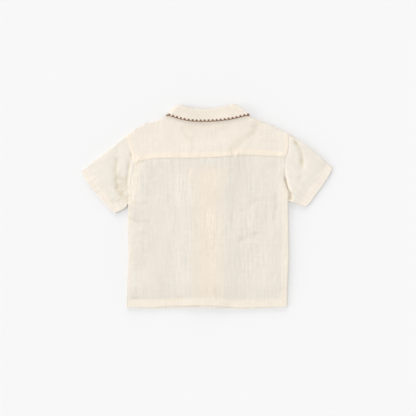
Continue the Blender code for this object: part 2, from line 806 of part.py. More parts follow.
def make_buttons():
    cutter = make_thread_holes()
    for number, centre in enumerate(button_centres(), start=1):
        profile = [(BUTTON_RADIUS * r * MM, 0, BUTTON_THICKNESS * z * MM) for r, z in BUTTON_PROFILE]
        edges = [(i, i + 1) for i in range(len(profile) - 1)]
        mesh = bpy.data.meshes.new(f"button_{number}")
        mesh.from_pydata(profile, edges, [])
        button = made_object(f"button_{number}", mesh, SHELL, shirt)
        button.location = centre * MM
        turned_shape = button.modifiers.new("turned", "SCREW")
        turned_shape.steps = BUTTON_STEPS
        turned_shape.render_steps = BUTTON_STEPS
        turned_shape.use_merge_vertices = True
        turned_shape.merge_threshold = 0.00001
        holes = button.modifiers.new("thread holes", "BOOLEAN")
        holes.object = cutter
        holes.operation = "DIFFERENCE"
        holes.solver = "EXACT"


def rest_on_origin():
    """Moves everything so that the origin is at the middle of the shirt's underside."""
    bpy.context.view_layer.update()
    graph = bpy.context.evaluated_depsgraph_get()
    corners = []
    for obj in shirt.objects:
        shape = obj.evaluated_get(graph)
        corners += [shape.matrix_world @ Vector(corner) for corner in shape.bound_box]
    low = Vector([min(corner[i] for corner in corners) for i in range(3)])
    high = Vector([max(corner[i] for corner in corners) for i in range(3)])
    shift = Vector(((low.x + high.x) / 2, (low.y + high.y) / 2, low.z))
    for obj in (*shirt.objects, *cutters.objects):
        obj.location -= shift


clear_scene()
shirt = bpy.data.collections.new("toddler_shirt")
cutters = bpy.data.collections.new("cutters")
bpy.context.scene.collection.children.link(shirt)
bpy.context.scene.collection.children.link(cutters)
make_back()
make_yoke()
make_front("left")
make_front("right")
make_sleeve("left")
make_sleeve("right")
band = collar_sections()
make_collar(band)
make_edging(band)
make_buttons()
rest_on_origin()
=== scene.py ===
"""The look of a toddler's short-sleeve shirt that lies flat on its front, back upwards.

Tables and shape functions are in millimetres, in the frame of the solids: +X towards the wearer's
right, +Y from hem to collar, +Z up from the surface. Each panel is a fine sheet of cloth shaped
between its cut edges on the form of its solid, with the photograph's creases, seams and stitches.
"""

import math

import bmesh
import bpy
import numpy as np
from mathutils import Matrix, Vector
from mathutils.bvhtree import BVHTree


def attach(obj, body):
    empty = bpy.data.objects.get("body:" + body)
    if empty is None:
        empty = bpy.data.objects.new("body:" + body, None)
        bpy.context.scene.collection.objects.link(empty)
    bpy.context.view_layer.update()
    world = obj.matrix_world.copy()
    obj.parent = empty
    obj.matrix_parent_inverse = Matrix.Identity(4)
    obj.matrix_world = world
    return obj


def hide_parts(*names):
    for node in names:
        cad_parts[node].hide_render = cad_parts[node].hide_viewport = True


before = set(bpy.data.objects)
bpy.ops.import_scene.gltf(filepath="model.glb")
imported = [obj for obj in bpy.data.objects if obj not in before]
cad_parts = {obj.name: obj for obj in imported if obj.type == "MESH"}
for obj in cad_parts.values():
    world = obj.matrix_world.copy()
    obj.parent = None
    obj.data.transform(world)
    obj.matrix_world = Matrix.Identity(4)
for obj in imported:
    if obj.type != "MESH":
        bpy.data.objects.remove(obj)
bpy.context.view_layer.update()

MM = 0.001
SIDES = ("left", "right")

# Thickness of the cloth that shows, then of the solids whose form it keeps
CLOTH = 0.55
YOKE_CLOTH = 0.8
COLLAR_CLOTH = 0.9
HEM_THICKER = 0.75
SOLID_CLOTH = 1.0
SOLID_FOLDED = 1.4
SOLID_YOKE = 1.2
SOLID_COLLAR = 1.2

# Gaps at the seams and between the layers
SEAM_GAP = 0.22
SEAM_HALF_GAP = 0.14
NECK_GAP = 0.85
PANEL_GAP = 0.4
BACK_CLEARANCE = 0.7

# Heights: of the laid shirt, and what lifts or lowers its upper layers
LAID_HEIGHT = 4.2
LEAST_HEIGHT = 1.6
YOKE_RISE = 0.3
HEM_RISE = 0.3
HEM_REST = 2.4
CUFF_REST = 2.0
CUFF_REACH = 34
BUTTON_LIFT = 2.1
COLLAR_LIFT = 2.1
PLACKET_SETTLE = 0.9
CREASE_RELIEF = 0.55

# Where a form is full out to one distance and fades over the next
PLACKET = (30, 54)
PLACKET_TOP = (104, 56)
OVER_COLLAR = (10, 26)
UNDER_COLLAR = (6, 15)
OVERLAP_AT_HEM = (22, 30)
HEM_ZONE = (-186, 46)

# Hems, facings, folded edges, and rows of sewing from their edges
HEM_DEPTH = 14.0
CUFF_HEM_DEPTH = 15.0
CUFF_ZONE = 18.0
CENTRE_FRONT = 2.8
OVERLAP = 14.0
FACING_WIDTH = 45.0
HEM_STITCH = 12.2
CUFF_STITCH = 13.0
YOKE_STITCH = 1.7
EDGE_STITCH = 5.6
STITCH_PITCH = 3.0
GROOVE_WIDTH = 0.7
GROOVE_DEPTH = 0.13
RIM_RADIUS = 0.9
RIM_SHARE = 0.38
RIM_ANGLES = (0, 7, 18, 32, 48, 68, 90)
EDGE_BULGE = 0.3

# Where the fronts rise: over the buttons, and the right one over the left
OVER_BUTTONS = (OVERLAP + 6, 22)
OVER_OTHER_FRONT = (CENTRE_FRONT + OVERLAP + 8, 17)

# How far in a folded edge rolls over, and how deep
ARMHOLE_ROLL = (1.1, 0.3)
YOKE_ROLL = (1.0, 0.3)
BACK_ROLL = (1.0, 0.25)
COLLAR_ROLL = (1.2, 0.22)

# Rows of the grids, from an edge inwards
STEP = 2.0
SEAM_STOPS = (0, 0.25, 0.6, 1.1, 2.0)
YOKE_STOPS = (0, 0.25, 0.6, 1.1, 1.7, 2.4, 4.0)
FRONT_EDGE_STOPS = (0, 0.2, 0.6, 1.2, 2.2, 4.0, 5.2, 6.0, 6.8, 8.0)
COLLAR_LEAF_STOPS = (0.1, 0.2, 0.3, 0.4, 0.5, 0.6, 0.7, 0.8, 0.86, 0.92, 0.96, 0.985, 1.0)
COLLAR_ROW = 1.6

# Buttons and their holes; the profile is in shares of radius and thickness
BUTTON_RADIUS = 5.25
BUTTON_THICKNESS = 1.8
TOP_BUTTON = 105.0
BUTTON_SPACING = 62.0
BUTTON_COUNT = 5
BUTTON_HOLE_RADIUS = 0.7
BUTTON_HOLE_SPREAD = 1.25
BUTTONHOLE_HALF = 6.3
BUTTON_PROFILE = (
    (0, 1), (0.78, 1), (0.88, 0.94), (0.96, 0.8), (1, 0.6), (1, 0.4), (0.97, 0.16),
    (0.9, 0.03), (0.82, 0), (0.74, 0.05), (0.66, 0.18), (0.58, 0.28), (0.5, 0.3), (0, 0.3),
)
# A thread's way in a button: share of the way from hole to hole, height
BUTTON_THREAD = (
    (-1, 2.5), (-1, 0.7), (-0.8, 0.36), (0, 0.26), (0.8, 0.36), (1, 0.7), (1, 2.5),
)

# The collar's fold, and the edging along its leaf
NECK_CENTRE = (0.0, 200.0)
COLLAR_TURN = 1.0
SCALLOP_PITCH = 7.45
EDGING_START = 8.6
EDGING_END = 4.4
EDGING_BACKING = 2.3
KNOT_OUT = -0.5
KNOT_HALF_HEIGHT = 0.72
KNOT_THREAD = 0.58
KNOT_WINDINGS = ((-1.15, 1.25), (0.0, 1.7), (1.15, 1.25))
LOOP_TOP = 0.95
LOOP_BOTTOM = 1.55
LOOP_RADIUS = 0.46

# What the cloth's points carry for its colour: layers under it, facings, painted shade at its
# rims, and its creases' rise for painted crease shading
MARKS = ("backed", "faced", "rim_shade", "crease_shading")
# Painted shade at the cloth's rims: the band it covers, its share on rims that the low lights
# don't meet, and the colour it multiplies by
RIM_SHADE_BAND = (0.2, 0.9)
UNLIT_RIM_SHADE = 0.38
RIM_SHADE_TINT = (0.66, 0.64, 0.613, 1)
# Painted shade in the creases: the colour that the cloth is multiplied by where it dips
CREASE_SHADE_TINT = (0.88, 0.842, 0.75, 1)
THREAD_PITCH = 0.52

# Uneven yarn and dye: scale along the grain's x, y and z, a metre, detail, roughness, swing of
# the tone, and whether the swing follows the slubby places; the first two also make the bump
CLOTH_NOISE = (
    ((620, 34, 1), 3, 0.6, 0.05, True),
    ((30, 560, 1), 3, 0.6, 0.02, True),
    ((265, 17, 1), 3, 0.55, 0.06, True),
    ((21, 230, 1), 3, 0.55, 0.018, True),
    ((24, 17, 1), 2, 0.5, 0.03, False),
    ((150, 130, 1), 3, 0.6, 0.028, True),
)
# Colours of the cloth: plain, where edges are turned in, over the facings; strength of the streaks
LINENS = {
    "back": ((0.857, 0.797, 0.712), (0.934, 0.856, 0.741), (0.906, 0.810, 0.691)),
    "yoke": ((0.917, 0.841, 0.738), (0.968, 0.864, 0.732), None, 0.6),
    "front": ((0.857, 0.797, 0.712), (0.975, 0.899, 0.790), (0.906, 0.815, 0.700)),
    "sleeve_left": ((0.896, 0.838, 0.741), (0.95, 0.868, 0.764), None, 0.7),
    "sleeve_right": ((0.892, 0.833, 0.738), (0.968, 0.886, 0.778), None, 0.7),
    "collar": ((0.910, 0.831, 0.722), (0.935, 0.853, 0.742), None, 0.7),
}
# Colours of the threads: name, dark, light
THREADS = {
    "sewing": ("sewing_thread", (0.80, 0.71, 0.58), (0.90, 0.82, 0.70)),
    "knots": ("knot_thread", (0.17, 0.074, 0.030), (0.30, 0.142, 0.062)),
    "loops": ("loop_thread", (0.20, 0.085, 0.022), (0.34, 0.155, 0.050)),
}

# Light; each soft light has its share of the light on the surface, then its heading, height and
# spread in degrees
SKY_LIGHT = 0.655
GLOW = 2.6
GLOW_TOP = 0.2
SOFT_LIGHTS = ((0.11, 98, 14, 20), (0.09, 190, 16, 24), (0.10, 150, 50, 50))

# Floor and camera, which looks straight down on the middle height of the laid shirt
FLOOR_HALF = 4000.0
FLOOR_Z = -0.2
PHOTO_WIDTH = 775.0
LAID_LEVEL = 4.0
VIEW_CENTRE = (1.863, -3.353)
CAMERA_HEIGHT = 2200.0

SIDE_SEAMS = {
    "left": (
        (-149.6, -187.5), (-148.1, -138), (-145.9, -98), (-147.2, -44), (-147.4, 3.5),
    ),
    "right": (
        (149, -187.5), (150.2, -138), (152.2, -98), (151.7, -44), (150.9, 9.5),
    ),
}
ARMHOLES = {
    "left": (
        (-147.4, 3.5), (-145.8, 28), (-141.8, 48), (-137.8, 64),
        (-136.6, 78), (-139.8, 94), (-145.4, 114), (-150, 131),
    ),
    "right": (
        (150.9, 9.5), (153, 21), (150.6, 32), (145.4, 50), (144, 63),
        (144.2, 77), (146.2, 91), (151, 103), (152.3, 116), (152.5, 135.3),
    ),
}
SHOULDERS = {
    "left": (
        (-150, 131), (-132, 143.8), (-115, 152.6), (-102, 157),
        (-89, 161.3), (-75, 167.4), (-60.9, 174.8),
    ),
    "right": (
        (152.5, 135.3), (134.3, 143.1), (121.3, 149.6), (101.7, 157.6),
        (88.7, 163.4), (76, 168.6), (58.9, 176.3),
    ),
}
SLEEVE_TOPS = {
    "left": ((-167.5, 117.2), (-193.6, 96.3), (-217.2, 77.9), (-233.9, 64.6)),
    "right": ((159.3, 130.4), (173.6, 121.3), (206.2, 96.5), (234, 71)),
}
SLEEVE_UNDERARMS = {
    "left": ((-150.8, -2), (-156, -6.2), (-163, -9.6), (-170.5, -12.9)),
    "right": ((158, 7.4), (166, 5), (173.5, 2.6), (182, -0.9)),
}
CUFFS = {
    "left": (
        (-170.5, -12.9), (-177.2, -7.2), (-184.1, -0.9), (-200.8, 18.1),
        (-219.8, 40.6), (-233.9, 64.6),
    ),
    "right": (
        (182, -0.9), (188, 3), (195.8, 13.2), (205.3, 26.3),
        (223, 51.2), (234, 71),
    ),
}
YOKE_SEAM = (
    (-136.6, 79.5), (-127, 82.5), (-109, 87.2), (-80, 89), (-32, 89.2),
    (10, 90.5), (43, 92.8), (80, 95), (112, 93), (146.2, 91),
)
BACK_HEM = (
    (-149.6, -187.5), (-104, -188.6), (-84, -186.2), (-41, -185.2), (-5, -184.6),
    (20, -185.4), (38, -187.6), (62, -189.4), (108, -187.4), (149, -187.5),
)
FRONT_HEM = (
    (-149.6, -187.5), (-104, -190.4), (-41, -188.7), (15, -188.7), (63, -190.8),
    (108, -189.6), (149, -187.5),
)

# The collar, round the neck. Side: 1 over the yoke, -1 under the fronts, 0 at the turn between;
# then x and y of its neck seam, of its fold and of its edge
COLLAR_LEFT = (
    (-1, 1, 117.8, 1, 127, 0.6, 119.4),
    (-1, -7, 118.6, -6, 127.8, -18, 102.5),
    (-1, -16.5, 121, -13, 129.5, -32, 90.5),
    (-1, -26, 125.5, -21, 132.8, -41.5, 90),
    (-1, -36.5, 133, -31, 139.5, -49.5, 104),
    (-1, -46.5, 144, -41.5, 150.5, -58.5, 126),
    (-1, -54, 157.5, -50, 168, -66.5, 150),
    (-1, -58.8, 171, -55.3, 184.2, -70.6, 168.3),
    (0, -60.5, 175.2, -57.6, 187.8, -72.9, 172.2),
    (1, -56.5, 173.6, -53.2, 188.2, -68.6, 171.6),
    (1, -44, 170, -42, 185.6, -53.2, 167),
    (1, -24, 167.4, -27, 182.5, -30.6, 162.4),
)
COLLAR_CENTRE = ((1, -3, 166.7, -5, 181.2, -3, 161.6),)
COLLAR_RIGHT = (
    (1, 18, 167.3, 18, 182.9, 22.5, 162.9),
    (1, 37, 170.3, 36.5, 187.2, 48.5, 166.3),
    (1, 54.4, 175.2, 50.2, 190.4, 71.8, 171.7),
    (0, 58.5, 176.8, 54.8, 189.6, 75.8, 172.5),
    (-1, 56.8, 172.6, 52.6, 186, 73.6, 168.6),
    (-1, 53, 159, 49, 169.5, 69.5, 150),
    (-1, 47, 145, 42.5, 151.5, 62, 126),
    (-1, 39.5, 134, 34.5, 140.5, 53.5, 104),
    (-1, 30, 126, 25.5, 133.3, 46, 90),
    (-1, 21.5, 121.2, 18, 129.7, 37, 90.5),
    (-1, 12.5, 118.7, 11.5, 127.9, 23.5, 102.5),
    (-1, 4.6, 117.8, 4.6, 127, 5, 119.4),
)
COLLAR_SECTIONS = COLLAR_LEFT + COLLAR_CENTRE + COLLAR_RIGHT

# Creases in the cloth on top: points along it, width to its left and right, rise. The rise also
# sets the painted crease shading.
CREASES = (
    (((-163.4, 119), (-164.6, 108), (-166, 98)), (2, 2.5), -0.5),
    (((-167, 88), (-168.5, 66), (-168, 46), (-166, 33)), (2.4, 5), -1.5),
    (((-157, 100), (-155, 76), (-156, 56)), (5, 4.5), 0.5),
    (((-140.8, 97), (-142.5, 86), (-145.2, 74), (-147.4, 55), (-149.5, 34)), (2.6, 3.6), -1.4),
    (((-161, 48), (-160, 32), (-156, 15)), (11, 9), -1.9),
    (((-166, 12), (-162, 5)), (2.6, 2.6), -0.5),
    (((-170, 0), (-164, -5)), (3, 3), 0.8),
    (((-175, 8), (-172, 0)), (2.4, 2.4), -0.7),
    (((-190, 30), (-204, 50), (-215, 66)), (9, 7), 0.4),
    (((-186, 100), (-189, 76), (-184, 52)), (9, 6), 0.3),
    (((157, 131), (162.4, 123), (167, 115.7)), (1.8, 1.8), -1.4),
    (((165.8, 118), (171, 109), (176.2, 100), (177.5, 88), (176.5, 76)), (3.4, 4.4), -1.6),
    (((177, 84), (176, 66), (173, 52)), (5, 5.5), -0.6),
    (((168, 124), (178, 113), (187, 103)), (4, 3), 0.6),
    (((154.5, 124), (157, 108), (160, 92)), (3, 4), 0.4),
    (((144.2, 68), (144.6, 60), (145.4, 53)), (2.4, 1.8), -1),
    (((145.6, 50), (147.6, 41), (151.8, 29.5), (156, 22)), (2.4, 1.8), -3.4),
    (((155.2, 20), (155.8, 16.8), (155.2, 13)), (4, 3.6), -4.2),
    (((151, 62), (154, 44), (160, 30)), (3.5, 4), 0.7),
    (((164, 12), (174, 9), (182, 8)), (4, 4), 0.7),
    (((190, 28), (204, 46), (214, 62)), (8, 8), 0.4),
    (((176, 50), (184, 28)), (6, 5), -0.6),
    (((94, 150), (78, 129), (62, 117), (48, 106)), (6, 10), -1),
    (((110, 144), (98, 126), (86, 112)), (10, 9), 0.45),
    (((-47, 143), (-38, 130), (-27, 118)), (6, 3.5), -0.8),
    (((-27, 118), (-25, 104), (-26, 92)), (3.5, 5), -0.5),
    (((-24, 150), (0, 146), (26, 150)), (18, 14), -0.6),
    (((50, 107), (56, 100), (55, 92)), (2.2, 2.2), 0.8),
    (((46, 99), (50, 93)), (2.2, 2.2), -0.6),
    (((60, 104), (62, 95)), (2.4, 2), -0.6),
    (((-126, 97), (-129, 82)), (2.5, 3), 0.6),
    (((-121, 92), (-118, 84)), (2.5, 2.5), -0.6),
    (((-144, -24), (-126, -29), (-108, -28)), (3, 4), -0.9),
    (((-143, -36), (-130, -42), (-118, -43)), (5, 4), 0.5),
    (((-138, 7), (-126, 4), (-114, 5)), (3, 4), -0.7),
    (((-140, 20), (-128, 12), (-112, 14)), (4, 4), 0.35),
    (((68, -8), (80, 2), (94, 11)), (5, 4), -0.7),
    (((62, -62), (76, -57), (90, -51)), (4, 6), -0.8),
    (((58, -44), (74, -34), (84, -33)), (5, 5), 0.4),
    (((128, 24), (130, 0), (126, -26)), (4, 5), -0.8),
    (((138, 12), (139, -14), (136, -40)), (3, 4), 0.4),
    (((-133, -44), (-136, -90), (-134, -150)), (17, 12), 0.6),
    (((-112, -106), (-104, -128), (-92, -152)), (9, 8), 0.35),
    (((-139, -171), (-92, -172.5), (-42, -171)), (2.4, 4), -0.6),
    (((96, -98), (106, -122), (112, -146)), (9, 7), 0.4),
    (((-60, 40), (-72, 0), (-66, -50)), (11, 9), 0.3),
    (((-96, 66), (-104, 30), (-100, -8)), (9, 11), -0.4),
    (((44, 70), (50, 20), (47, -30)), (6, 7), -0.45),
    (((-34, 70), (-37, 10), (-35, -60), (-38, -130)), (4, 5), -0.35),
    (((-120, 112), (-104, 124), (-84, 128)), (8, 9), 0.35),
    (((120, 128), (126, 112), (124, 100)), (6, 7), -0.35),
)
# Beside the armholes the sleeve tucks in: from y, to y, depth
SLEEVE_TUCKS = {"left": (-4, 30, 0.4), "right": (18, 52, 1.1)}
# Creases in the fronts and the sleeves' undersides, in the same form
FRONT_CREASES = (
    (((-120, -60), (-112, -90), (-116, -120)), (8, 9), 0.4),
    (((-80, 10), (-84, -30), (-76, -64)), (9, 8), 0.35),
    (((-112, 40), (-100, 22), (-84, 14)), (6, 7), 0.4),
    (((84, 40), (88, 0), (82, -40)), (8, 9), 0.4),
    (((118, -40), (110, -74), (114, -118)), (9, 9), 0.35),
    (((110, 60), (98, 44), (88, 20)), (7, 6), 0.4),
    (((-40, -150), (-70, -160), (-96, -156)), (8, 7), 0.35),
    (((-170, 80), (-176, 50), (-174, 22)), (7, 6), 0.4),
    (((176, 84), (184, 54), (182, 28)), (7, 7), 0.4),
)


# Curves in plan, on arrays of numbers

def ease(t):
    t = np.clip(t, 0.0, 1.0)
    return t * t * (3 - 2 * t)


def plateau(distance, half_width, ramp):
    return ease(1 - (distance - half_width) / ramp)


def soft_max(a, b, softness=0.8):
    return (a + b + np.hypot(a - b, softness)) / 2


class Curve:
    """A smooth curve through points, or through whole sections, by distance along track."""

    def __init__(self, points, track=None):
        self.points = np.array([tuple(point) for point in points], float)
        track = self.points if track is None else track
        steps = np.linalg.norm(np.diff(track, axis=0), axis=1)
        self.knots = np.concatenate([[0.0], np.cumsum(steps)])
        self.length = self.knots[-1]
        place = np.arange(len(self.points))
        before = np.maximum(place - 1, 0)
        after = np.minimum(place + 1, len(self.points) - 1)
        run = self.spread(self.knots[after] - self.knots[before])
        self.slopes = (self.points[after] - self.points[before]) / run

    def spread(self, values):
        return values.reshape(-1, *[1] * (self.points.ndim - 1))

    def at(self, distance):
        s = np.clip(np.atleast_1d(distance), 0, self.length)
        i = np.clip(np.searchsorted(self.knots, s, "right") - 1, 0, len(self.knots) - 2)
        span = self.spread(self.knots[i + 1] - self.knots[i])
        f = self.spread(s - self.knots[i]) / span
        return (
            self.points[i] * (2 * f**3 - 3 * f**2 + 1)
            + self.slopes[i] * span * (f**3 - 2 * f**2 + f)
            + self.points[i + 1] * (3 * f**2 - 2 * f**3)
            + self.slopes[i + 1] * span * (f**3 - f**2)
        )

    def __call__(self, t):
        return self.at(np.clip(np.asarray(t, float), 0, 1) * self.length)


def sampled(curve, count):
    return curve(np.linspace(0, 1, count + 1))


def length_of(curve):
    return float(np.linalg.norm(np.diff(sampled(curve, 24), axis=0), axis=1).sum())


def joined(first, second):
    share = length_of(first) / (length_of(first) + length_of(second))

    def at(t):
        t = np.atleast_1d(np.asarray(t, float))
        return np.where((t <= share)[:, None], first(t / share), second((t - share) / (1 - share)))

    return at


def stretch(curve, start, end):
    return lambda t: curve(start + (end - start) * np.asarray(t, float))


def moved(curve, x=0.0, y=0.0):
    return lambda t: curve(t) + np.array((x, y))


def where(curve, axis, value):
    """The place, from 0 to 1, at which a curve reaches a value of x or y."""
    low, high = 0.0, 1.0
    for _ in range(30):
        middle = (low + high) / 2
        if curve(middle)[0][axis] < value:
            low = middle
        else:
            high = middle
    return low


def lerp(a, b, share):
    return a + (b - a) * np.asarray(share)[..., None]


def patch(left, right, bottom, top):
    """A surface in plan between four edge curves that share their corners."""
    low_left, low_right = bottom(0)[0], bottom(1)[0]
    high_left, high_right = top(0)[0], top(1)[0]

    def at(u, v):
        up = lerp(bottom(u), top(u), v)
        across = lerp(left(v), right(v), u)
        corners = lerp(lerp(low_left, low_right, u), lerp(high_left, high_right, u), v)
        return up + across - corners

    return at


def outset(point, gap):
    """A point of the neck seam moved out, away from the neck's centre."""
    away = np.array(point, float) - np.array(NECK_CENTRE)
    return np.array(point, float) + away / np.linalg.norm(away) * gap


class Lines:
    """Polylines in plan, and the distance from points to the nearest of them."""

    def __init__(self, lines):
        lines = [np.array([tuple(point) for point in line]) for line in lines]
        self.starts = np.concatenate([line[:-1] for line in lines])
        self.ways = np.concatenate([line[1:] - line[:-1] for line in lines])
        self.squares = (self.ways**2).sum(axis=1)

    def distance(self, points):
        nearest = []
        for some in np.array_split(points, max(1, len(points) // 4000)):
            to_point = some[:, None, :] - self.starts[None]
            share = np.clip((to_point * self.ways).sum(axis=2) / self.squares, 0, 1)
            off = to_point - self.ways * share[..., None]
            nearest.append(np.sqrt((off**2).sum(axis=2).min(axis=1)))
        return np.concatenate(nearest)


def inside(points, outline):
    odd = np.zeros(len(points), bool)
    for a, b in zip(outline, np.roll(outline, -1, axis=0)):
        if a[1] == b[1]:
            continue
        crosses = (a[1] > points[:, 1]) != (b[1] > points[:, 1])
        crossing = a[0] + (points[:, 1] - a[1]) * (b[0] - a[0]) / (b[1] - a[1])
        odd ^= crosses & (crossing > points[:, 0])
    return odd


def both(table):
    return {side: Curve(points) for side, points in table.items()}


def from_armhole(end, table):
    """Curves that start at one end of the sleeve's seam."""
    return both({side: [sleeve_seams[side](end)[0], *table[side]] for side in SIDES})


side_seams, armholes, shoulders, cuffs = map(both, (SIDE_SEAMS, ARMHOLES, SHOULDERS, CUFFS))
sleeve_seams = {
    "left": moved(armholes["left"], x=-SEAM_GAP),
    "right": moved(armholes["right"], x=SEAM_GAP),
}
sleeve_tops, underarms = from_armhole(1, SLEEVE_TOPS), from_armhole(0, SLEEVE_UNDERARMS)
yoke_seam, back_hem, front_hem = map(Curve, (YOKE_SEAM, BACK_HEM, FRONT_HEM))

side_lines = Lines([sampled(curve, 60) for curve in side_seams.values()])
armhole_lines = Lines([sampled(curve, 60) for curve in armholes.values()])
cuff_lines = Lines([sampled(curve, 40) for curve in cuffs.values()])
yoke_lines = Lines([sampled(yoke_seam, 90)])
outline = []
for side in SIDES:
    outline.append(np.concatenate([sampled(side_seams[side], 90), sampled(underarms[side], 40)]))
    top = sampled(sleeve_tops[side], 60)[::-1]
    outline.append(np.concatenate([top, sampled(shoulders[side], 60)]))
outline_lines = Lines(outline)

# The rims that the low lights meet, where the most shade is painted on: along the top, and down
# the wearer's left side
lit_lines = Lines(
    [
        sampled(side_seams["left"], 90),
        sampled(underarms["left"], 40),
        *(sampled(line, 60) for line in (*sleeve_tops.values(), *shoulders.values())),
    ]
)


def leaf_outline(half):
    under = [row for row in half if row[0] < 1]
    return np.array([row[5:7] for row in under] + [row[3:5] for row in reversed(under)])


leaves = [leaf_outline(half) for half in (COLLAR_LEFT, COLLAR_RIGHT)]
leaf_lines = Lines([np.concatenate([leaf, leaf[:1]]) for leaf in leaves])


def leaf_distance(points):
    """Distance from the halves of the leaf that lie under the fronts, 0 on them."""
    distance = leaf_lines.distance(points)
    for leaf in leaves:
        distance[inside(points, leaf)] = 0.0
    return distance


# Heights of the layers

def along_buttons(y):
    """1 down to the lowest button, and 0 well below it."""
    lowest = TOP_BUTTON - BUTTON_SPACING * (BUTTON_COUNT - 1)
    return ease((y - lowest) / 34 + 1.35)


def front_under(points, side):
    """Height of a front's lower face over the collar's leaf, the buttons or the other front."""
    x, y = points.T
    off_centre = np.abs(x - CENTRE_FRONT)
    on_collar = COLLAR_LIFT * plateau(leaf_distance(points), *UNDER_COLLAR)
    on_buttons = BUTTON_LIFT * plateau(off_centre, *OVER_BUTTONS) * along_buttons(y)
    height = np.maximum(on_collar, on_buttons)
    if side == "right":
        height += (SOLID_FOLDED + PANEL_GAP) * plateau(x, *OVER_OTHER_FRONT)
    return height


def undulation(points, size, seed):
    """A gentle uneven surface, about -1 to 1, whose hollows are about size across."""
    random = np.random.default_rng(seed)
    total, waves = np.zeros(len(points)), 14
    for _ in range(waves):
        angle, phase = random.uniform(0, 2 * math.pi, 2)
        wave = 2 * math.pi / (size * random.uniform(1.2, 3.2))
        along = points[:, 0] * math.cos(angle) + points[:, 1] * math.sin(angle)
        total += np.sin(along * wave + phase)
    return total / math.sqrt(waves / 2) / 1.6


def creased(points, creases, seed):
    """Rise of soft troughs and ridges, steeper on one side than the other and uneven in depth."""
    rise = np.zeros(len(points))
    uneven = undulation(points, 9.0, seed)
    for line, (left_width, right_width), height in creases:
        path = sampled(Curve(line), 10)
        distance = Lines([path]).distance(points)
        near = distance < 3.2 * max(left_width, right_width)
        if not near.any():
            continue
        chord = path[-1] - path[0]
        off = points[near] - path[len(path) // 2]
        on_left = chord[0] * off[:, 1] - chord[1] * off[:, 0] > 0
        width = np.where(on_left, left_width, right_width)
        reach = distance[near] / width
        rise[near] += height * np.exp(-reach * reach) * (1 + 0.3 * uneven[near])
    return rise


def upper_creases(points):
    return creased(points, CREASES, 11)


def lower_creases(points):
    return creased(points, FRONT_CREASES, 23)


def back_over(points):
    """Height of the form that the upper layers lie in, as in the solids but with finer creases."""
    x, y = points.T
    off_centre = np.abs(x - CENTRE_FRONT)
    both_fronts = 2 * SOLID_FOLDED + PANEL_GAP - SOLID_CLOTH
    placket = BUTTON_LIFT * along_buttons(y) + both_fronts - PLACKET_SETTLE
    placket *= plateau(off_centre, *PLACKET)
    placket *= plateau(y, *PLACKET_TOP)
    collar = COLLAR_LIFT * plateau(leaf_distance(points), *OVER_COLLAR)
    stack = SOLID_CLOTH + np.maximum(placket, collar) + BACK_CLEARANCE + SOLID_YOKE
    over = soft_max(LAID_HEIGHT, stack)
    at_hem = HEM_REST + (SOLID_FOLDED + PANEL_GAP) * plateau(off_centre, *OVERLAP_AT_HEM)
    over += (np.minimum(over, at_hem) - over) * plateau(y, *HEM_ZONE)
    at_cuff = ease((CUFF_REACH - cuff_lines.distance(points)) / CUFF_REACH)
    over += (np.minimum(over, CUFF_REST) - over) * at_cuff
    ripple = 0.18 * np.sin(x / 19 + 1.0) * np.sin(y / 27)
    fine = 0.08 * undulation(points, 13.0, 5) + 0.028 * undulation(points, 4.5, 6)
    return over + CREASE_RELIEF * upper_creases(points) + ripple + fine


def turned(points, flat, other, gap):
    """A face bent round to meet the other one at the outline."""
    middle, half = (flat + other) / 2, (flat - other) / 2
    reach = np.clip(outline_lines.distance(points) / np.abs(RIM_SHARE * half), 0, 1)
    share = np.sqrt(1 - (1 - reach) ** 2)
    return middle + np.sign(half) * (gap + (np.abs(half) - gap) * share)


def top_face(points, gap=SEAM_HALF_GAP, rise=0.0):
    lower = front_under(points, "left")
    flat = soft_max(back_over(points) + rise, lower + LEAST_HEIGHT, 0.3)
    return turned(points, flat, lower, gap)


def bottom_face(points, side, gap=SEAM_HALF_GAP):
    crinkle = lower_creases(points) + 0.12 + 0.12 * undulation(points, 15.0, 8)
    flat = front_under(points, side) + np.clip(crinkle, 0, None)
    return turned(points, flat, back_over(points), gap)


# Meshes

RIM_STOPS = [RIM_RADIUS * (1 - math.cos(math.radians(angle))) for angle in RIM_ANGLES]


def hem_stops(depth, stitch):
    """Distances from a hem's edge, close at the edge, at the stitches and at the hem's end."""
    at_stitches = (stitch - 0.8, stitch, stitch + 0.8)
    return (0.0, 0.15, 0.45, 0.9, 2.5, 4.5, 6.5, 8.5, *at_stitches, depth + 0.6)


def stops(length, near_start=(0.0,), near_end=(0.0,)):
    """Places from 0 to 1 at the given distances from both ends, and even between them."""
    start, end = max(near_start), length - max(near_end)
    count = max(1, round((end - start) / STEP))
    middle = [start + (end - start) * i / count for i in range(1, count)]
    places = [*near_start, *middle, *(length - place for place in reversed(near_end))]
    return np.array([place / length for place in places])


def unit(vectors):
    return vectors / np.maximum(np.linalg.norm(vectors, axis=-1, keepdims=True), 1e-9)


def slopes_along(points, axis, wraps):
    if wraps:
        return np.roll(points, -1, axis) - np.roll(points, 1, axis)
    return np.gradient(points, axis=axis)


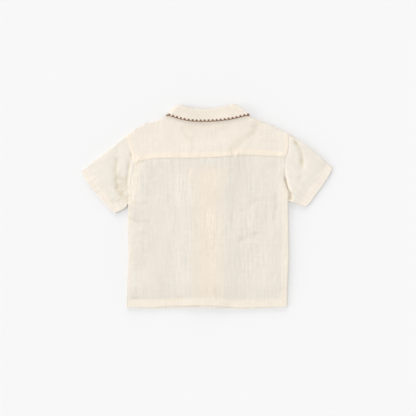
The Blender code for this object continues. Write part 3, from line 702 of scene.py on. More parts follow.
def shell(name, points, thickness, uv, shades, finish, wraps=False, flip=False, offset=1.0):
    """A closed wall of cloth on a grid of points, with rounded edges.

    points are rows by columns; offset is 1 where they lie on its outer face and 0.5 in its middle.
    """
    if wraps:
        points, thickness, shades = points[:, :-1], thickness[:, :-1], shades[:, :-1]
    rows, count = points.shape[:2]
    far, thick = rows * count, thickness[..., None]
    along_u, along_v = slopes_along(points, 1, wraps), slopes_along(points, 0, False)
    normal = unit(np.cross(along_u, along_v)) * (-1 if flip else 1)
    outer, inner = points + normal * thick * (1 - offset), points - normal * thick * offset
    places = [outer.reshape(-1, 3), inner.reshape(-1, 3)]
    marks = [shades.reshape(far, -1)] * 2
    grid = np.arange(far).reshape(rows, count)
    grid = np.concatenate([grid, grid[:, :1]], axis=1) if wraps else grid
    quads, corner_uvs = [], []

    def add(a, b, c, d, where_uv):
        quads.append(np.stack([a, b, c, d], axis=-1).reshape(-1, 4))
        corner_uvs.append(np.stack(where_uv, axis=-2).reshape(-1, 4, 2))

    a, b, c, d = grid[:-1, :-1], grid[:-1, 1:], grid[1:, 1:], grid[1:, :-1]
    uv_a, uv_b, uv_c, uv_d = uv[:-1, :-1], uv[:-1, 1:], uv[1:, 1:], uv[1:, :-1]
    add(a, b, c, d, (uv_a, uv_b, uv_c, uv_d))
    add(d + far, c + far, b + far, a + far, (uv_d, uv_c, uv_b, uv_a))
    edges = [(grid[0], uv[0], -along_v[0], True), (grid[-1], uv[-1], along_v[-1], False)]
    if not wraps:
        edges += [
            (grid[:, 0], uv[:, 0], -along_u[:, 0], False),
            (grid[:, -1], uv[:, -1], along_u[:, -1], True),
        ]
    made = 2 * far
    for line, line_uv, out, forward in edges:
        own = line[:-1] if wraps else line
        middle = (places[0][own] + places[1][own]) / 2
        width = thick.reshape(-1, 1)[own]
        places.append(middle + unit(out) * width * EDGE_BULGE)
        marks.append(marks[0][own])
        ring = np.arange(made, made + len(own))
        made += len(own)
        ring = np.append(ring, ring[0]) if wraps else ring
        for upper, lower in ((line, ring), (ring, line + far)):
            corners = [lower[:-1], lower[1:], upper[1:], upper[:-1]]
            tags = [line_uv[:-1], line_uv[1:], line_uv[1:], line_uv[:-1]]
            if not forward:
                corners, tags = corners[::-1], tags[::-1]
            add(*corners, tags)
    quads, corner_uvs = np.concatenate(quads), np.concatenate(corner_uvs)
    if flip:
        quads, corner_uvs = quads[:, ::-1], corner_uvs[:, ::-1]
    places, marks = np.concatenate(places), np.concatenate(marks)
    return mesh_object(name, places, quads, corner_uvs, marks, finish)


def added(name, data):
    """A new object in the scene."""
    obj = bpy.data.objects.new(name, data)
    bpy.context.scene.collection.objects.link(obj)
    return obj


def mesh_object(name, places, quads, corner_uvs, marks, finish):
    mesh = bpy.data.meshes.new(name)
    places[:, 2] = np.maximum(places[:, 2], 0.0)
    mesh.vertices.add(len(places))
    mesh.vertices.foreach_set("co", (places * MM).astype(np.float32).ravel())
    mesh.loops.add(quads.size)
    mesh.loops.foreach_set("vertex_index", quads.astype(np.int32).ravel())
    mesh.polygons.add(len(quads))
    sides = quads.shape[1]
    mesh.polygons.foreach_set("loop_start", np.arange(0, quads.size, sides, dtype=np.int32))
    mesh.update(calc_edges=True)
    layer = mesh.uv_layers.new(name="grain")
    layer.data.foreach_set("uv", (corner_uvs * MM).astype(np.float32).ravel())
    for i, mark in enumerate(MARKS):
        made = mesh.attributes.new(mark, "FLOAT", "POINT")
        made.data.foreach_set("value", marks[:, i].astype(np.float32))
    mesh.validate()
    mesh.materials.append(finish)
    mesh.shade_smooth()
    return added(name, mesh)


def shaped(us, vs, place):
    """Points, thickness, grain and marks of a grid, each as rows by columns."""
    u, v = np.meshgrid(us, vs)
    xyz, thick, grain, marks = place(u.ravel(), v.ravel())
    size = u.shape
    return (
        xyz.reshape(*size, 3), thick.reshape(size), grain.reshape(*size, 2),
        marks.reshape(*size, len(MARKS)),
    )


def rolled(distance, reach, drop):
    """Drop of a face where it rolls over a folded edge."""
    share = np.clip(distance / reach, 0, 1)
    return drop * (1 - np.sqrt(1 - (1 - share) ** 2))


def groove(distance):
    """Dent that a row of stitches draws into the cloth."""
    return GROOVE_DEPTH * np.exp(-((distance / GROOVE_WIDTH) ** 2))


def facing_mark(points):
    """How much the facings of both fronts back the upper cloth, most where they overlap."""
    x, y = points.T
    x = x + 0.7 * undulation(points, 60, 34)
    soft = 1.2 + 4.5 * ease((y + 50) / 60)
    spread = 11 * ease((y - 30) / 34)
    left = ease((x + 30.5 + spread) / soft) * ease((17.5 - x) / 1.6)
    right = ease((33.0 + spread - x) / soft) * ease((x + 11.5) / 1.6)
    ridge = np.exp(-(((x + 26.5) / 2.6) ** 2)) + 0.9 * np.exp(-(((x + 7.5) / 3.2) ** 2))
    sharp = ease((-20 - y) / 40)
    fade = plateau(y, 60, 24)
    single = np.maximum(left, right)
    return (0.68 * single + 0.32 * left * right + 0.16 * ridge * sharp) * fade


# Cloth pieces

def hem_share(from_edge, depth):
    """1 on a hem, 0 off it."""
    return ease((depth + 0.8 - from_edge) / 1.6)


def cloth_at(points, z, thick, turned_in, facing, crease_shading, grain=None):
    """Points, thickness, grain and marks of cloth at these heights."""
    # Shade painted on at the rims: some on every outline, full on the rims that the low lights
    # meet
    rim_shade = UNLIT_RIM_SHADE * plateau(outline_lines.distance(points), *RIM_SHADE_BAND)
    rim_shade = np.maximum(rim_shade, plateau(lit_lines.distance(points), *RIM_SHADE_BAND))
    marks = np.stack([np.clip(turned_in, 0, 1), np.clip(facing, 0, 1), rim_shade, crease_shading], axis=-1)
    return np.column_stack([points, z]), thick, points if grain is None else grain, marks


def inner_edges(points):
    """How much the turned-in seam edges of side seams and armholes back the upper cloth."""
    y = points[:, 1]
    side = side_lines.distance(points) + 0.8 * undulation(points, 20, 31)
    arm = armhole_lines.distance(points) + 0.7 * undulation(points, 14, 32)
    left = points[:, 0] < 0
    beside = np.where(left, 0.42, 0.8) * plateau(side, np.where(left, 9.0, 11.0), 2.5)
    near = plateau(arm, 10.0, 4.5)
    above = np.where(left, 1.0, 0.45 + 0.5 * ease((46 - y) / 24))
    above *= near + 0.45 * plateau(arm, 18.0, 6.0) * (1 - near)
    return np.maximum(beside * plateau(y, 6, 8), above * ease((y + 8) / 14))


def puckers(points, distance, seed, depth=0.1, reach=5.0):
    """Small gathers beside a seam or a row of stitches."""
    return depth * undulation(points, 4.2, seed) * np.exp(-((distance / reach) ** 2))


def make_back():
    left, right = (
        joined(side_seams[side], stretch(armholes[side], 0, where(armholes[side], 1, end[1])))
        for side, end in zip(SIDES, (YOKE_SEAM[0], YOKE_SEAM[-1]))
    )
    plan = patch(left, right, back_hem, yoke_seam)
    width, length = length_of(yoke_seam), length_of(left)

    def place(u, v):
        points = plan(u, v)
        from_hem, from_yoke = v * length, yoke_lines.distance(points)
        hem, arm = hem_share(from_hem, HEM_DEPTH), armhole_lines.distance(points)
        z = top_face(points, rise=HEM_RISE * hem)
        z -= rolled(arm, *ARMHOLE_ROLL) * plateau(-points[:, 1], -3, 5)
        z -= rolled(from_yoke, *BACK_ROLL) + groove(from_hem - HEM_STITCH)
        z += puckers(points, from_yoke, 41) + puckers(points, from_hem - HEM_STITCH, 42, 0.16, 7)
        z += puckers(points, arm, 43)
        return cloth_at(
            points, z, CLOTH * (1 + HEM_THICKER * hem), np.maximum(inner_edges(points), hem),
            facing_mark(points), upper_creases(points),
        )

    us = stops(width, RIM_STOPS, RIM_STOPS)
    vs = stops(length, hem_stops(HEM_DEPTH, HEM_STITCH), SEAM_STOPS)
    piece = shell("back_cloth", *shaped(us, vs, place), finishes["back"])
    return piece, lambda u: plan(u, HEM_STITCH / length)


def back_neckline():
    inner = [outset(row[1:3], SEAM_GAP) for row in COLLAR_SECTIONS if row[0] == 1]
    return Curve([shoulders["left"](1)[0], *inner, shoulders["right"](1)[0]])


def make_yoke():
    left, right = (
        stretch(armholes[side], where(armholes[side], 1, end[1] + SEAM_GAP), 1)
        for side, end in zip(SIDES, (YOKE_SEAM[0], YOKE_SEAM[-1]))
    )
    top = joined(
        joined(shoulders["left"], back_neckline()), stretch(shoulders["right"], 1, 0)
    )
    plan = patch(left, right, moved(yoke_seam, y=SEAM_GAP), top)
    width, height = length_of(top), length_of(left)

    def place(u, v):
        points = plan(u, v)
        from_seam, arm = yoke_lines.distance(points), armhole_lines.distance(points)
        z = top_face(points, rise=YOKE_RISE)
        folded = rolled(from_seam, *YOKE_ROLL) + rolled(arm, *ARMHOLE_ROLL)
        z -= folded + groove(from_seam - YOKE_STITCH)
        z += puckers(points, from_seam, 44, 0.1, 8) + puckers(points, arm, 43)
        band = plateau(from_seam + 0.8 * undulation(points, 26, 33), 10.2, 1.6)
        turned_in = np.maximum(band, 0.75 * plateau(arm, 7.0, 2.5))
        thick = np.full(len(points), YOKE_CLOTH)
        return cloth_at(points, z, thick, turned_in, 0 * z, upper_creases(points))

    vs = stops(height * 1.3, YOKE_STOPS, RIM_STOPS)
    return shell("yoke_cloth", *shaped(stops(width), vs, place), finishes["yoke"])


def front_neckline(side):
    half = COLLAR_LEFT[::-1] if side == "left" else COLLAR_RIGHT
    inner = [outset(row[1:3], NECK_GAP) for row in half if row[0] == -1]
    past_centre = OVERLAP if side == "left" else -OVERLAP
    edge = (CENTRE_FRONT + past_centre, inner[-1][1] + 0.4)
    return Curve([shoulders[side](1)[0], *inner, edge])


def front_edges(side):
    """A front's edge: its x, the hem up to it, the top down to it, and the edge as a curve."""
    sign = 1 if side == "left" else -1
    edge_x = CENTRE_FRONT + sign * OVERLAP
    bottom = stretch(front_hem, 0 if side == "left" else 1, where(front_hem, 0, edge_x))
    top = joined(shoulders[side], front_neckline(side))
    return edge_x, bottom, top, Curve([bottom(1)[0], top(1)[0]])


def make_front(side):
    outer = joined(side_seams[side], armholes[side])
    edge_x, bottom, top, edge = front_edges(side)
    plan = patch(outer, edge, bottom, top)
    width, length = length_of(bottom), length_of(outer)

    def place(u, v):
        points = plan(u, v)
        from_hem, from_edge = v * length, np.abs(points[:, 0] - edge_x)
        hem = hem_share(from_hem, HEM_DEPTH)
        faced = plateau(from_edge, FACING_WIDTH - 3, 4) * plateau(points[:, 1], 130, 4)
        z = bottom_face(points, side)
        z += rolled(armhole_lines.distance(points), *ARMHOLE_ROLL)
        z += groove(from_hem - HEM_STITCH) + groove(from_edge - EDGE_STITCH)
        z += 0.6 * np.abs(puckers(points, from_hem - HEM_STITCH, 45, 0.1, 7))
        thick = CLOTH * (1 + HEM_THICKER * np.maximum(hem, 0.6 * faced))
        turned_in = np.maximum(inner_edges(points), hem)
        return cloth_at(points, z, thick, turned_in, faced, -lower_creases(points))

    us = stops(width, RIM_STOPS, FRONT_EDGE_STOPS)
    vs = stops(length, hem_stops(HEM_DEPTH, HEM_STITCH), RIM_STOPS)
    piece = shell(
        f"front_{side}_cloth", *shaped(us, vs, place), finishes["front"], flip=side == "left"
    )
    return piece, lambda u: plan(u, HEM_STITCH / length)


def make_sleeve(side):
    plan = patch(underarms[side], sleeve_tops[side], sleeve_seams[side], cuffs[side])
    width, length = length_of(sleeve_seams[side]), length_of(sleeve_tops[side])
    across = stops(width, RIM_STOPS, RIM_STOPS)
    around = np.concatenate([across / 2, 1 - across[-2::-1] / 2])

    def along_sleeve(w, v):
        """Places along the sleeve, of which the last keep an even distance from the cuff."""
        long = np.linalg.norm(plan(w, 0 * w + 1) - plan(w, 0 * w), axis=1)
        from_cuff = (1 - v) * length
        beyond = np.maximum(from_cuff - CUFF_ZONE, 0) / (length - CUFF_ZONE)
        return (1 - np.minimum(from_cuff, CUFF_ZONE) / long) * (1 - beyond)

    grain = unit(sleeve_tops[side](1) - sleeve_tops[side](0))[0]
    cross = np.array((-grain[1], grain[0]))

    def place(u, v):
        upper = u <= 0.5
        w = np.where(upper, 2 * u, 2 - 2 * u)
        points = plan(w, along_sleeve(w, v))
        from_cuff, from_seam = (1 - v) * length, armhole_lines.distance(points)
        hem = hem_share(from_cuff, CUFF_HEM_DEPTH)
        over, under = back_over(points), front_under(points, side)
        top = top_face(points, 0.0, HEM_RISE * hem)
        z = np.where(upper, top, bottom_face(points, side, 0.0))
        on_outline = (w < 1e-6) | (w > 1 - 1e-6)
        z = np.where(on_outline, (over + under) / 2, z)
        dents = rolled(from_seam, *ARMHOLE_ROLL) + groove(from_cuff - CUFF_STITCH)
        bumps = puckers(points, from_seam, 46)
        bumps += puckers(points, from_cuff - CUFF_STITCH, 47, 0.2, 6)
        low, high, depth = SLEEVE_TUCKS[side]
        tuck = depth * plateau(np.abs(points[:, 1] - (low + high) / 2), (high - low) / 2, 9)
        tuck *= np.exp(-((from_seam / 2.6) ** 2))
        dents += tuck
        soft = plateau(-outline_lines.distance(points), -3.5, 3)
        z += np.where(upper, bumps - dents, 0.6 * np.abs(bumps) + dents) * soft
        grain_uv = np.column_stack([points @ cross + np.where(upper, 0, 400), points @ grain])
        # The painted crease shading follows these folds and the tuck
        folds = np.where(upper, upper_creases(points) - tuck, -lower_creases(points))
        turned_in = np.maximum(hem, 0.35 * plateau(from_seam, 6, 2.5))
        thick = CLOTH * (1 + HEM_THICKER * hem)
        return cloth_at(points, z, thick, turned_in, 0 * z, folds, grain_uv)

    vs = stops(length, SEAM_STOPS, hem_stops(CUFF_HEM_DEPTH, CUFF_STITCH))
    piece = shell(
        f"sleeve_{side}_cloth", *shaped(around, vs, place), finishes[f"sleeve_{side}"],
        wraps=True, flip=side == "right",
    )

    def stitch_row(w):
        return plan(w, along_sleeve(w, 1 - CUFF_STITCH / length + 0 * w))

    return piece, stitch_row


# The collar

def yoke_middle(point):
    """Height of the middle of the yoke's wall."""
    return float(back_over(np.atleast_2d(point))[0]) + YOKE_RISE - SOLID_YOKE / 2


def collar_section(row):
    """Points in the middle of the collar's wall, from its neck seam over the fold to its edge."""
    side, wearer_side = row[0], "left" if row[3] < CENTRE_FRONT else "right"
    neck, fold, edge = (np.array(row[i:i + 2], float) for i in (1, 3, 5))
    edge = edge + unit(edge - fold) * EDGING_BACKING
    up = unit(fold - neck)
    out = np.array((-up[1], up[0])) * (1 if wearer_side == "left" else -1)
    to_leaf = np.array((0, 0, side)) if side else np.array((*out, 0.0))
    turn = fold - up * (COLLAR_TURN + SOLID_COLLAR / 2)

    def height(point, over, under):
        return yoke_middle(point) + over if side > 0 else under

    on_leaf = SOLID_COLLAR / 2
    at_fold = on_leaf + 2 * COLLAR_TURN
    at_neck = float(front_under(neck[None], wearer_side)[0]) + SOLID_CLOTH / 2
    centre = np.array((*turn, height(turn, COLLAR_TURN, on_leaf + COLLAR_TURN)))
    section = []
    inner_turn = turn - out * (COLLAR_TURN if side == 0 else 0)
    for share in np.linspace(0, 1, 7)[:-1]:
        point = neck + (inner_turn - neck) * share
        level = height(point, 0, at_neck + (at_fold - at_neck) * share)
        section.append((*point, level))
    for angle in np.linspace(0, math.pi, 9):
        arc = np.array((*up, 0.0)) * math.sin(angle) - to_leaf * math.cos(angle)
        section.append(centre + arc * COLLAR_TURN)
    start = np.array(section[-1][:2])
    for share in COLLAR_LEAF_STOPS:
        point = start + (edge - start) * share
        section.append((*point, height(point, 2 * COLLAR_TURN, on_leaf)))
    return np.array(section, float)


def between(rows, i):
    """A row halfway to the next one, on a smooth curve where their neighbours allow it."""
    first, second = np.array(rows[i]), np.array(rows[i + 1])
    middle = (first + second) / 2
    if 0 < i < len(rows) - 2:
        before, after = np.array(rows[i - 1]), np.array(rows[i + 2])
        if before[0] == first[0] == second[0] == after[0]:
            middle = (9 * (first + second) - before - after) / 16
    middle[0] = first[0]
    return tuple(float(value) for value in middle)


def collar_sections():
    """All sections in order; at each turn they swing round from the yoke to below the fronts."""
    rows, sections = COLLAR_SECTIONS, []
    for i, row in enumerate(rows):
        if row[0] != 0:
            sections.append(collar_section(row))
            if i + 1 < len(rows) and rows[i + 1][0] == row[0]:
                sections.append(collar_section(between(rows, i)))
            continue
        start, rim_shade, end = (collar_section(near) for near in rows[i - 1:i + 2])
        for angle in (-60, -30, 0, 30, 60):
            share, swing = math.cos(math.radians(angle)), math.sin(math.radians(angle))
            section = (start if angle < 0 else end) * (1 - share) + rim_shade * share
            section[:, 2] = (start[:, 2] + end[:, 2]) / 2 + (end[:, 2] - start[:, 2]) / 2 * swing
            sections.append(section)
    return np.array(sections)


def make_collar(band):
    s = np.linspace(0, band.length, round(band.length / COLLAR_ROW) + 1)
    points = band.at(s).transpose(1, 0, 2)
    across = np.linalg.norm(np.diff(points, axis=0), axis=2).cumsum(axis=0)
    across = np.concatenate([np.zeros((1, points.shape[1])), across])
    along, from_edge = s[None] + 0 * across, across[-1:] - across
    normal = unit(np.cross(slopes_along(points, 1, False), slopes_along(points, 0, False)))
    flat = np.stack([along, across], axis=-1).reshape(-1, 2)
    crinkle = 0.10 * undulation(flat, 12.0, 51) + 0.05 * undulation(flat, 4.5, 52)
    crinkle = crinkle.reshape(across.shape) * plateau(-np.minimum(across, from_edge), -3, 3)
    points = points + normal * (crinkle - rolled(from_edge, *COLLAR_ROLL))[..., None]
    turned_in = 0.55 * plateau(from_edge, 8.0, 2.0)
    # Painted shade on the collar's steep faces, set by how they face the low lights
    to_light = np.clip(0.4 - normal[..., 1] + 0.6 * normal[..., 0], UNLIT_RIM_SHADE, 1.0)
    steep_shade = ease((0.985 - np.abs(normal[..., 2])) / 0.35) * to_light
    marks = np.stack([turned_in, 0 * turned_in, steep_shade, 0 * turned_in], axis=-1)
    grain = np.stack([along + 700, across], axis=-1)
    thick = np.full(across.shape, COLLAR_CLOTH)
    return shell("collar_cloth", points, thick, grain, marks, finishes["collar"], offset=0.5)


# Threads

def tube(path, radius, sides=6, closed=False):
    """Points and quads of a round thread along a path."""
    path = np.asarray(path, float)
    count = len(path)
    if closed:
        along = unit(np.roll(path, -1, 0) - np.roll(path, 1, 0))
    else:
        along = unit(np.gradient(path, axis=0))
    guide = np.array((0.0, 0.0, 1.0))
    if abs(along[:, 2]).max() > 0.9:
        guide = np.cross(along[0], along[count // 3])
        guide = np.array((0.3, 0.9, 0.1)) if np.linalg.norm(guide) < 1e-3 else guide
    first = unit(np.cross(along, guide))
    second = np.cross(along, first)
    angles = (np.arange(sides) * 2 * math.pi / sides)[:, None]
    ring = np.cos(angles) * first[:, None] + np.sin(angles) * second[:, None]
    radii = np.broadcast_to(radius, (count,))[:, None, None]
    points = (path[:, None] + ring * radii).reshape(-1, 3)
    i = np.arange(count if closed else count - 1)
    j = np.arange(sides)
    a = i[:, None] * sides + j
    b = i[:, None] * sides + (j + 1) % sides
    after = ((i + 1) % count)[:, None] * sides
    quads = np.stack([a, b, after + (j + 1) % sides, after + j], axis=-1).reshape(-1, 4)
    return points, quads


def thread_object(name, parts, finish):
    """One piece of many threads, each given by its points and quads."""
    points = np.concatenate([some for some, _ in parts])
    made = np.cumsum([0] + [len(some) for some, _ in parts[:-1]])
    quads = np.concatenate([faces + before for (_, faces), before in zip(parts, made)])
    corner_uvs = points[quads.ravel()][:, :2].reshape(-1, 4, 2)
    marks = np.zeros((len(points), len(MARKS)))
    return mesh_object(name, points, quads, corner_uvs, marks, finish)


def tree_of(piece):
    mesh = piece.data
    points = np.empty(len(mesh.vertices) * 3, np.float32)
    mesh.vertices.foreach_get("co", points)
    return BVHTree.FromPolygons(
        points.reshape(-1, 3).tolist(), [tuple(face.vertices) for face in mesh.polygons]
    )


def evenly(curve):
    """Plan points and directions for the stitches along a curve."""
    line = curve(np.linspace(0, 1, 400))
    run = np.concatenate([[0], np.linalg.norm(np.diff(line, axis=0), axis=1).cumsum()])
    places = np.arange(STITCH_PITCH, run[-1] - STITCH_PITCH, STITCH_PITCH)
    points = np.column_stack([np.interp(places, run, line[:, i]) for i in (0, 1)])
    return points, unit(np.gradient(points, axis=0))


def stitches(tree, points, ways, seed, length=2.5, width=0.42, underneath=False):
    """Stitches of sewing thread that lie on a cloth, each a short rounded bar."""
    random = np.random.default_rng(seed)
    parts = []
    start_z, down = (-0.02, 1.0) if underneath else (0.03, -1.0)
    for point, way in zip(points, ways):
        hit, normal, _, _ = tree.ray_cast(Vector((*(point * MM), start_z)), Vector((0, 0, down)))
        if hit is None:
            continue
        up = np.array(normal)
        up = up if up[2] * down < 0 else -up
        along = np.array((*way, 0.0))
        along = unit(along - up * (along @ up))
        along = unit(along + 0.05 * random.normal() * np.cross(along, up))
        centre = np.array(hit) / MM
        reach = length / 2 * random.uniform(0.92, 1.05)
        path = [
            centre + along * reach * share + up * width * lift
            for share, lift in ((-1, -0.45), (-0.8, 0.15), (0, 0.35), (0.8, 0.15), (1, -0.45))
        ]
        parts.append(tube(path, np.array((0.3, 0.9, 1.0, 0.9, 0.3)) * width / 2))
    return parts


def make_edging(band):
    """Knots wound over the collar's edge, joined by thin loops that hang from knot to knot."""
    run = band.length - EDGING_START - EDGING_END
    scallops = round(run / SCALLOP_PITCH)
    pitch = run / scallops
    random = np.random.default_rng(7)

    def frames(s):
        """The leaf's edge, its direction, the way out of the leaf and the way through it."""
        sections, after, before = band.at(s), band.at(s + 0.5), band.at(s - 0.5)
        edge = sections[:, -1]
        along = unit(after[:, -1] - before[:, -1])
        out = edge - sections[:, -3]
        out = unit(out - along * (out * along).sum(axis=1, keepdims=True))
        return edge, along, out, np.cross(along, out)

    knots, loops = [], []
    at = EDGING_START + np.arange(scallops + 1) * pitch
    turn = np.linspace(0, 2 * math.pi, 14, endpoint=False)
    for edge, along, out, through in zip(*frames(at)):
        for shift, long in KNOT_WINDINGS:
            slant = random.normal(0, 0.12)
            reach = long + random.uniform(-0.12, 0.12)
            path = [
                edge + along * (shift + slant * math.cos(angle))
                + out * (KNOT_OUT + reach * math.cos(angle))
                + through * KNOT_HALF_HEIGHT * math.sin(angle)
                for angle in turn
            ]
            knots.append(tube(path, KNOT_THREAD, closed=True))
    share = np.linspace(0, 1, 13)
    for start in at[:-1]:
        edge, along, out, through = frames(start + share * pitch)
        hang = 1 - np.abs(2 * share - 1) ** 3.5
        drop = LOOP_TOP + (LOOP_BOTTOM - LOOP_TOP) * hang * random.uniform(0.8, 1.1)
        loops.append(tube(edge + out * drop[:, None], LOOP_RADIUS, 7))
    return (
        thread_object("edging_knots", knots, finishes["knots"]),
        thread_object("edging_loops", loops, finishes["loops"]),
    )


# Buttons

def make_button(number, centre):
    """A profile turned round, with four holes cut through."""
    mesh = bpy.data.meshes.new(f"button_{number}_shell")
    profile = [(BUTTON_RADIUS * r * MM, 0, BUTTON_THICKNESS * z * MM) for r, z in BUTTON_PROFILE]
    mesh.from_pydata(profile, [(i, i + 1) for i in range(len(profile) - 1)], [])
    button = added(mesh.name, mesh)
    turned_shape = button.modifiers.new("turned", "SCREW")
    turned_shape.steps = turned_shape.render_steps = 48
    turned_shape.use_merge_vertices = True
    turned_shape.merge_threshold = 0.00001
    cutter = thread_holes()
    holes = button.modifiers.new("thread holes", "BOOLEAN")
    holes.object = cutter
    holes.operation = "DIFFERENCE"
    holes.solver = "EXACT"
    graph = bpy.context.evaluated_depsgraph_get()
    shape = bpy.data.meshes.new_from_object(button.evaluated_get(graph))
    shape.transform(Matrix.Translation(Vector((*centre, 0)) * MM))
    button.modifiers.clear()
    button.data = shape
    shape.name = button.name
    bpy.data.objects.remove(cutter)
    shape.materials.clear()
    shape.materials.append(finishes["button"])
    shape.shade_smooth()
    return button


def thread_holes():
    holes, radius = bmesh.new(), BUTTON_HOLE_RADIUS * MM
    for x in (-BUTTON_HOLE_SPREAD, BUTTON_HOLE_SPREAD):
        for y in (-BUTTON_HOLE_SPREAD, BUTTON_HOLE_SPREAD):
            made = bmesh.ops.create_cone(
                holes, cap_ends=True, segments=16, radius1=radius, radius2=radius,
                depth=3 * BUTTON_THICKNESS * MM,
            )
            middle = Vector((x, y, BUTTON_THICKNESS / 2))
            bmesh.ops.translate(holes, verts=made["verts"], vec=middle * MM)
    mesh = bpy.data.meshes.new("thread_holes")
    holes.to_mesh(mesh)
    holes.free()
    return added("thread_holes", mesh)


def button_threads(centres):
    """Two parallel bars of thread in each button, down into the cloth through its holes."""
    parts = []
    for x, y in centres:
        for side in (-BUTTON_HOLE_SPREAD, BUTTON_HOLE_SPREAD):
            for shift in (-0.22, 0.22):
                path = [
                    (x + side + shift, y + share * BUTTON_HOLE_SPREAD, height)
                    for share, height in BUTTON_THREAD
                ]
                parts.append(tube(path, 0.2))
    return parts


def buttonhole_bars(tree, centres):
    """Close bars of thread round the slit that each button goes through."""
    parts = []
    beside = np.arange(-BUTTONHOLE_HALF, BUTTONHOLE_HALF + 0.01, 0.55)
    beyond = BUTTONHOLE_HALF + np.array((0.4, 0.9))
    for x, y in centres:
        for off, along, seed, length in (
            (-0.75, beside, 61, 1.25), (0.75, beside, 61, 1.25),
            (0.0, -beyond, 62, 2.6), (0.0, beyond, 62, 2.6),
        ):
            points = np.column_stack([np.full(len(along), x + off), y + along])
            ways = np.tile((1.0, 0.0), (len(along), 1))
            parts += stitches(tree, points, ways, seed, length, 0.5, underneath=True)
    return parts


# Finishes

class Nodes:
    """Short calls that add and link a material's nodes."""

    def __init__(self, name):
        self.material = bpy.data.materials.new(name)
        self.material.use_nodes = True
        self.tree = self.material.node_tree
        self.shader = self.tree.nodes["Principled BSDF"]

    def add(self, kind, **settings):
        node = self.tree.nodes.new(kind)
        for key, value in settings.items():
            setattr(node, key, value)
        return node

    def link(self, output, target):
        self.tree.links.new(output, target)

    def put(self, value, target):
        if hasattr(value, "is_output"):
            self.link(value, target)
        else:
            target.default_value = value

    def math(self, operation, first, second=None):
        node = self.add("ShaderNodeMath", operation=operation)
        self.put(first, node.inputs[0])
        if second is not None:
            self.put(second, node.inputs[1])
        return node.outputs[0]

    def scaled(self, vector, factors):
        node = self.add("ShaderNodeVectorMath", operation="MULTIPLY")
        self.put(vector, node.inputs[0])
        node.inputs[1].default_value = factors
        return node.outputs[0]

    def noise(self, vector, scale, detail=2.0, roughness=0.5, output="Fac", **settings):
        node = self.add("ShaderNodeTexNoise", **settings)
        self.put(self.scaled(vector, scale), node.inputs["Vector"])
        node.inputs["Scale"].default_value = 1.0
        node.inputs["Detail"].default_value = detail
        node.inputs["Roughness"].default_value = roughness
        return node.outputs[output]

    def ranged(self, value, *ends):
        """Value from between the first two ends to between the last two."""
        node = self.add("ShaderNodeMapRange")
        self.put(value, node.inputs["Value"])
        for key, number in zip(("From Min", "From Max", "To Min", "To Max"), ends):
            node.inputs[key].default_value = number
        return node.outputs[0]

    def mix(self, factor, first, second, blend="MIX"):
        node = self.add("ShaderNodeMix", data_type="RGBA", blend_type=blend)
        self.put(factor, node.inputs["Factor"])
        self.put(first, node.inputs[6])
        self.put(second, node.inputs[7])
        return node.outputs[2]

    def surface(self, colour=None, normal=None, **values):
        """Links the colour and the normal, and sets other inputs, named with _ for a space."""
        if colour is not None:
            self.link(colour, self.shader.inputs["Base Color"])
        if normal is not None:
            self.link(normal, self.shader.inputs["Normal"])
        for key, value in values.items():
            self.put(value, self.shader.inputs[key.replace("_", " ")])
        return self.material

    def bump(self, height, distance, strength, after=None):
        node = self.add("ShaderNodeBump")
        node.inputs["Strength"].default_value = strength
        node.inputs["Distance"].default_value = distance
        self.put(height, node.inputs["Height"])
        if after is not None:
            self.link(after, node.inputs["Normal"])
        return node.outputs[0]


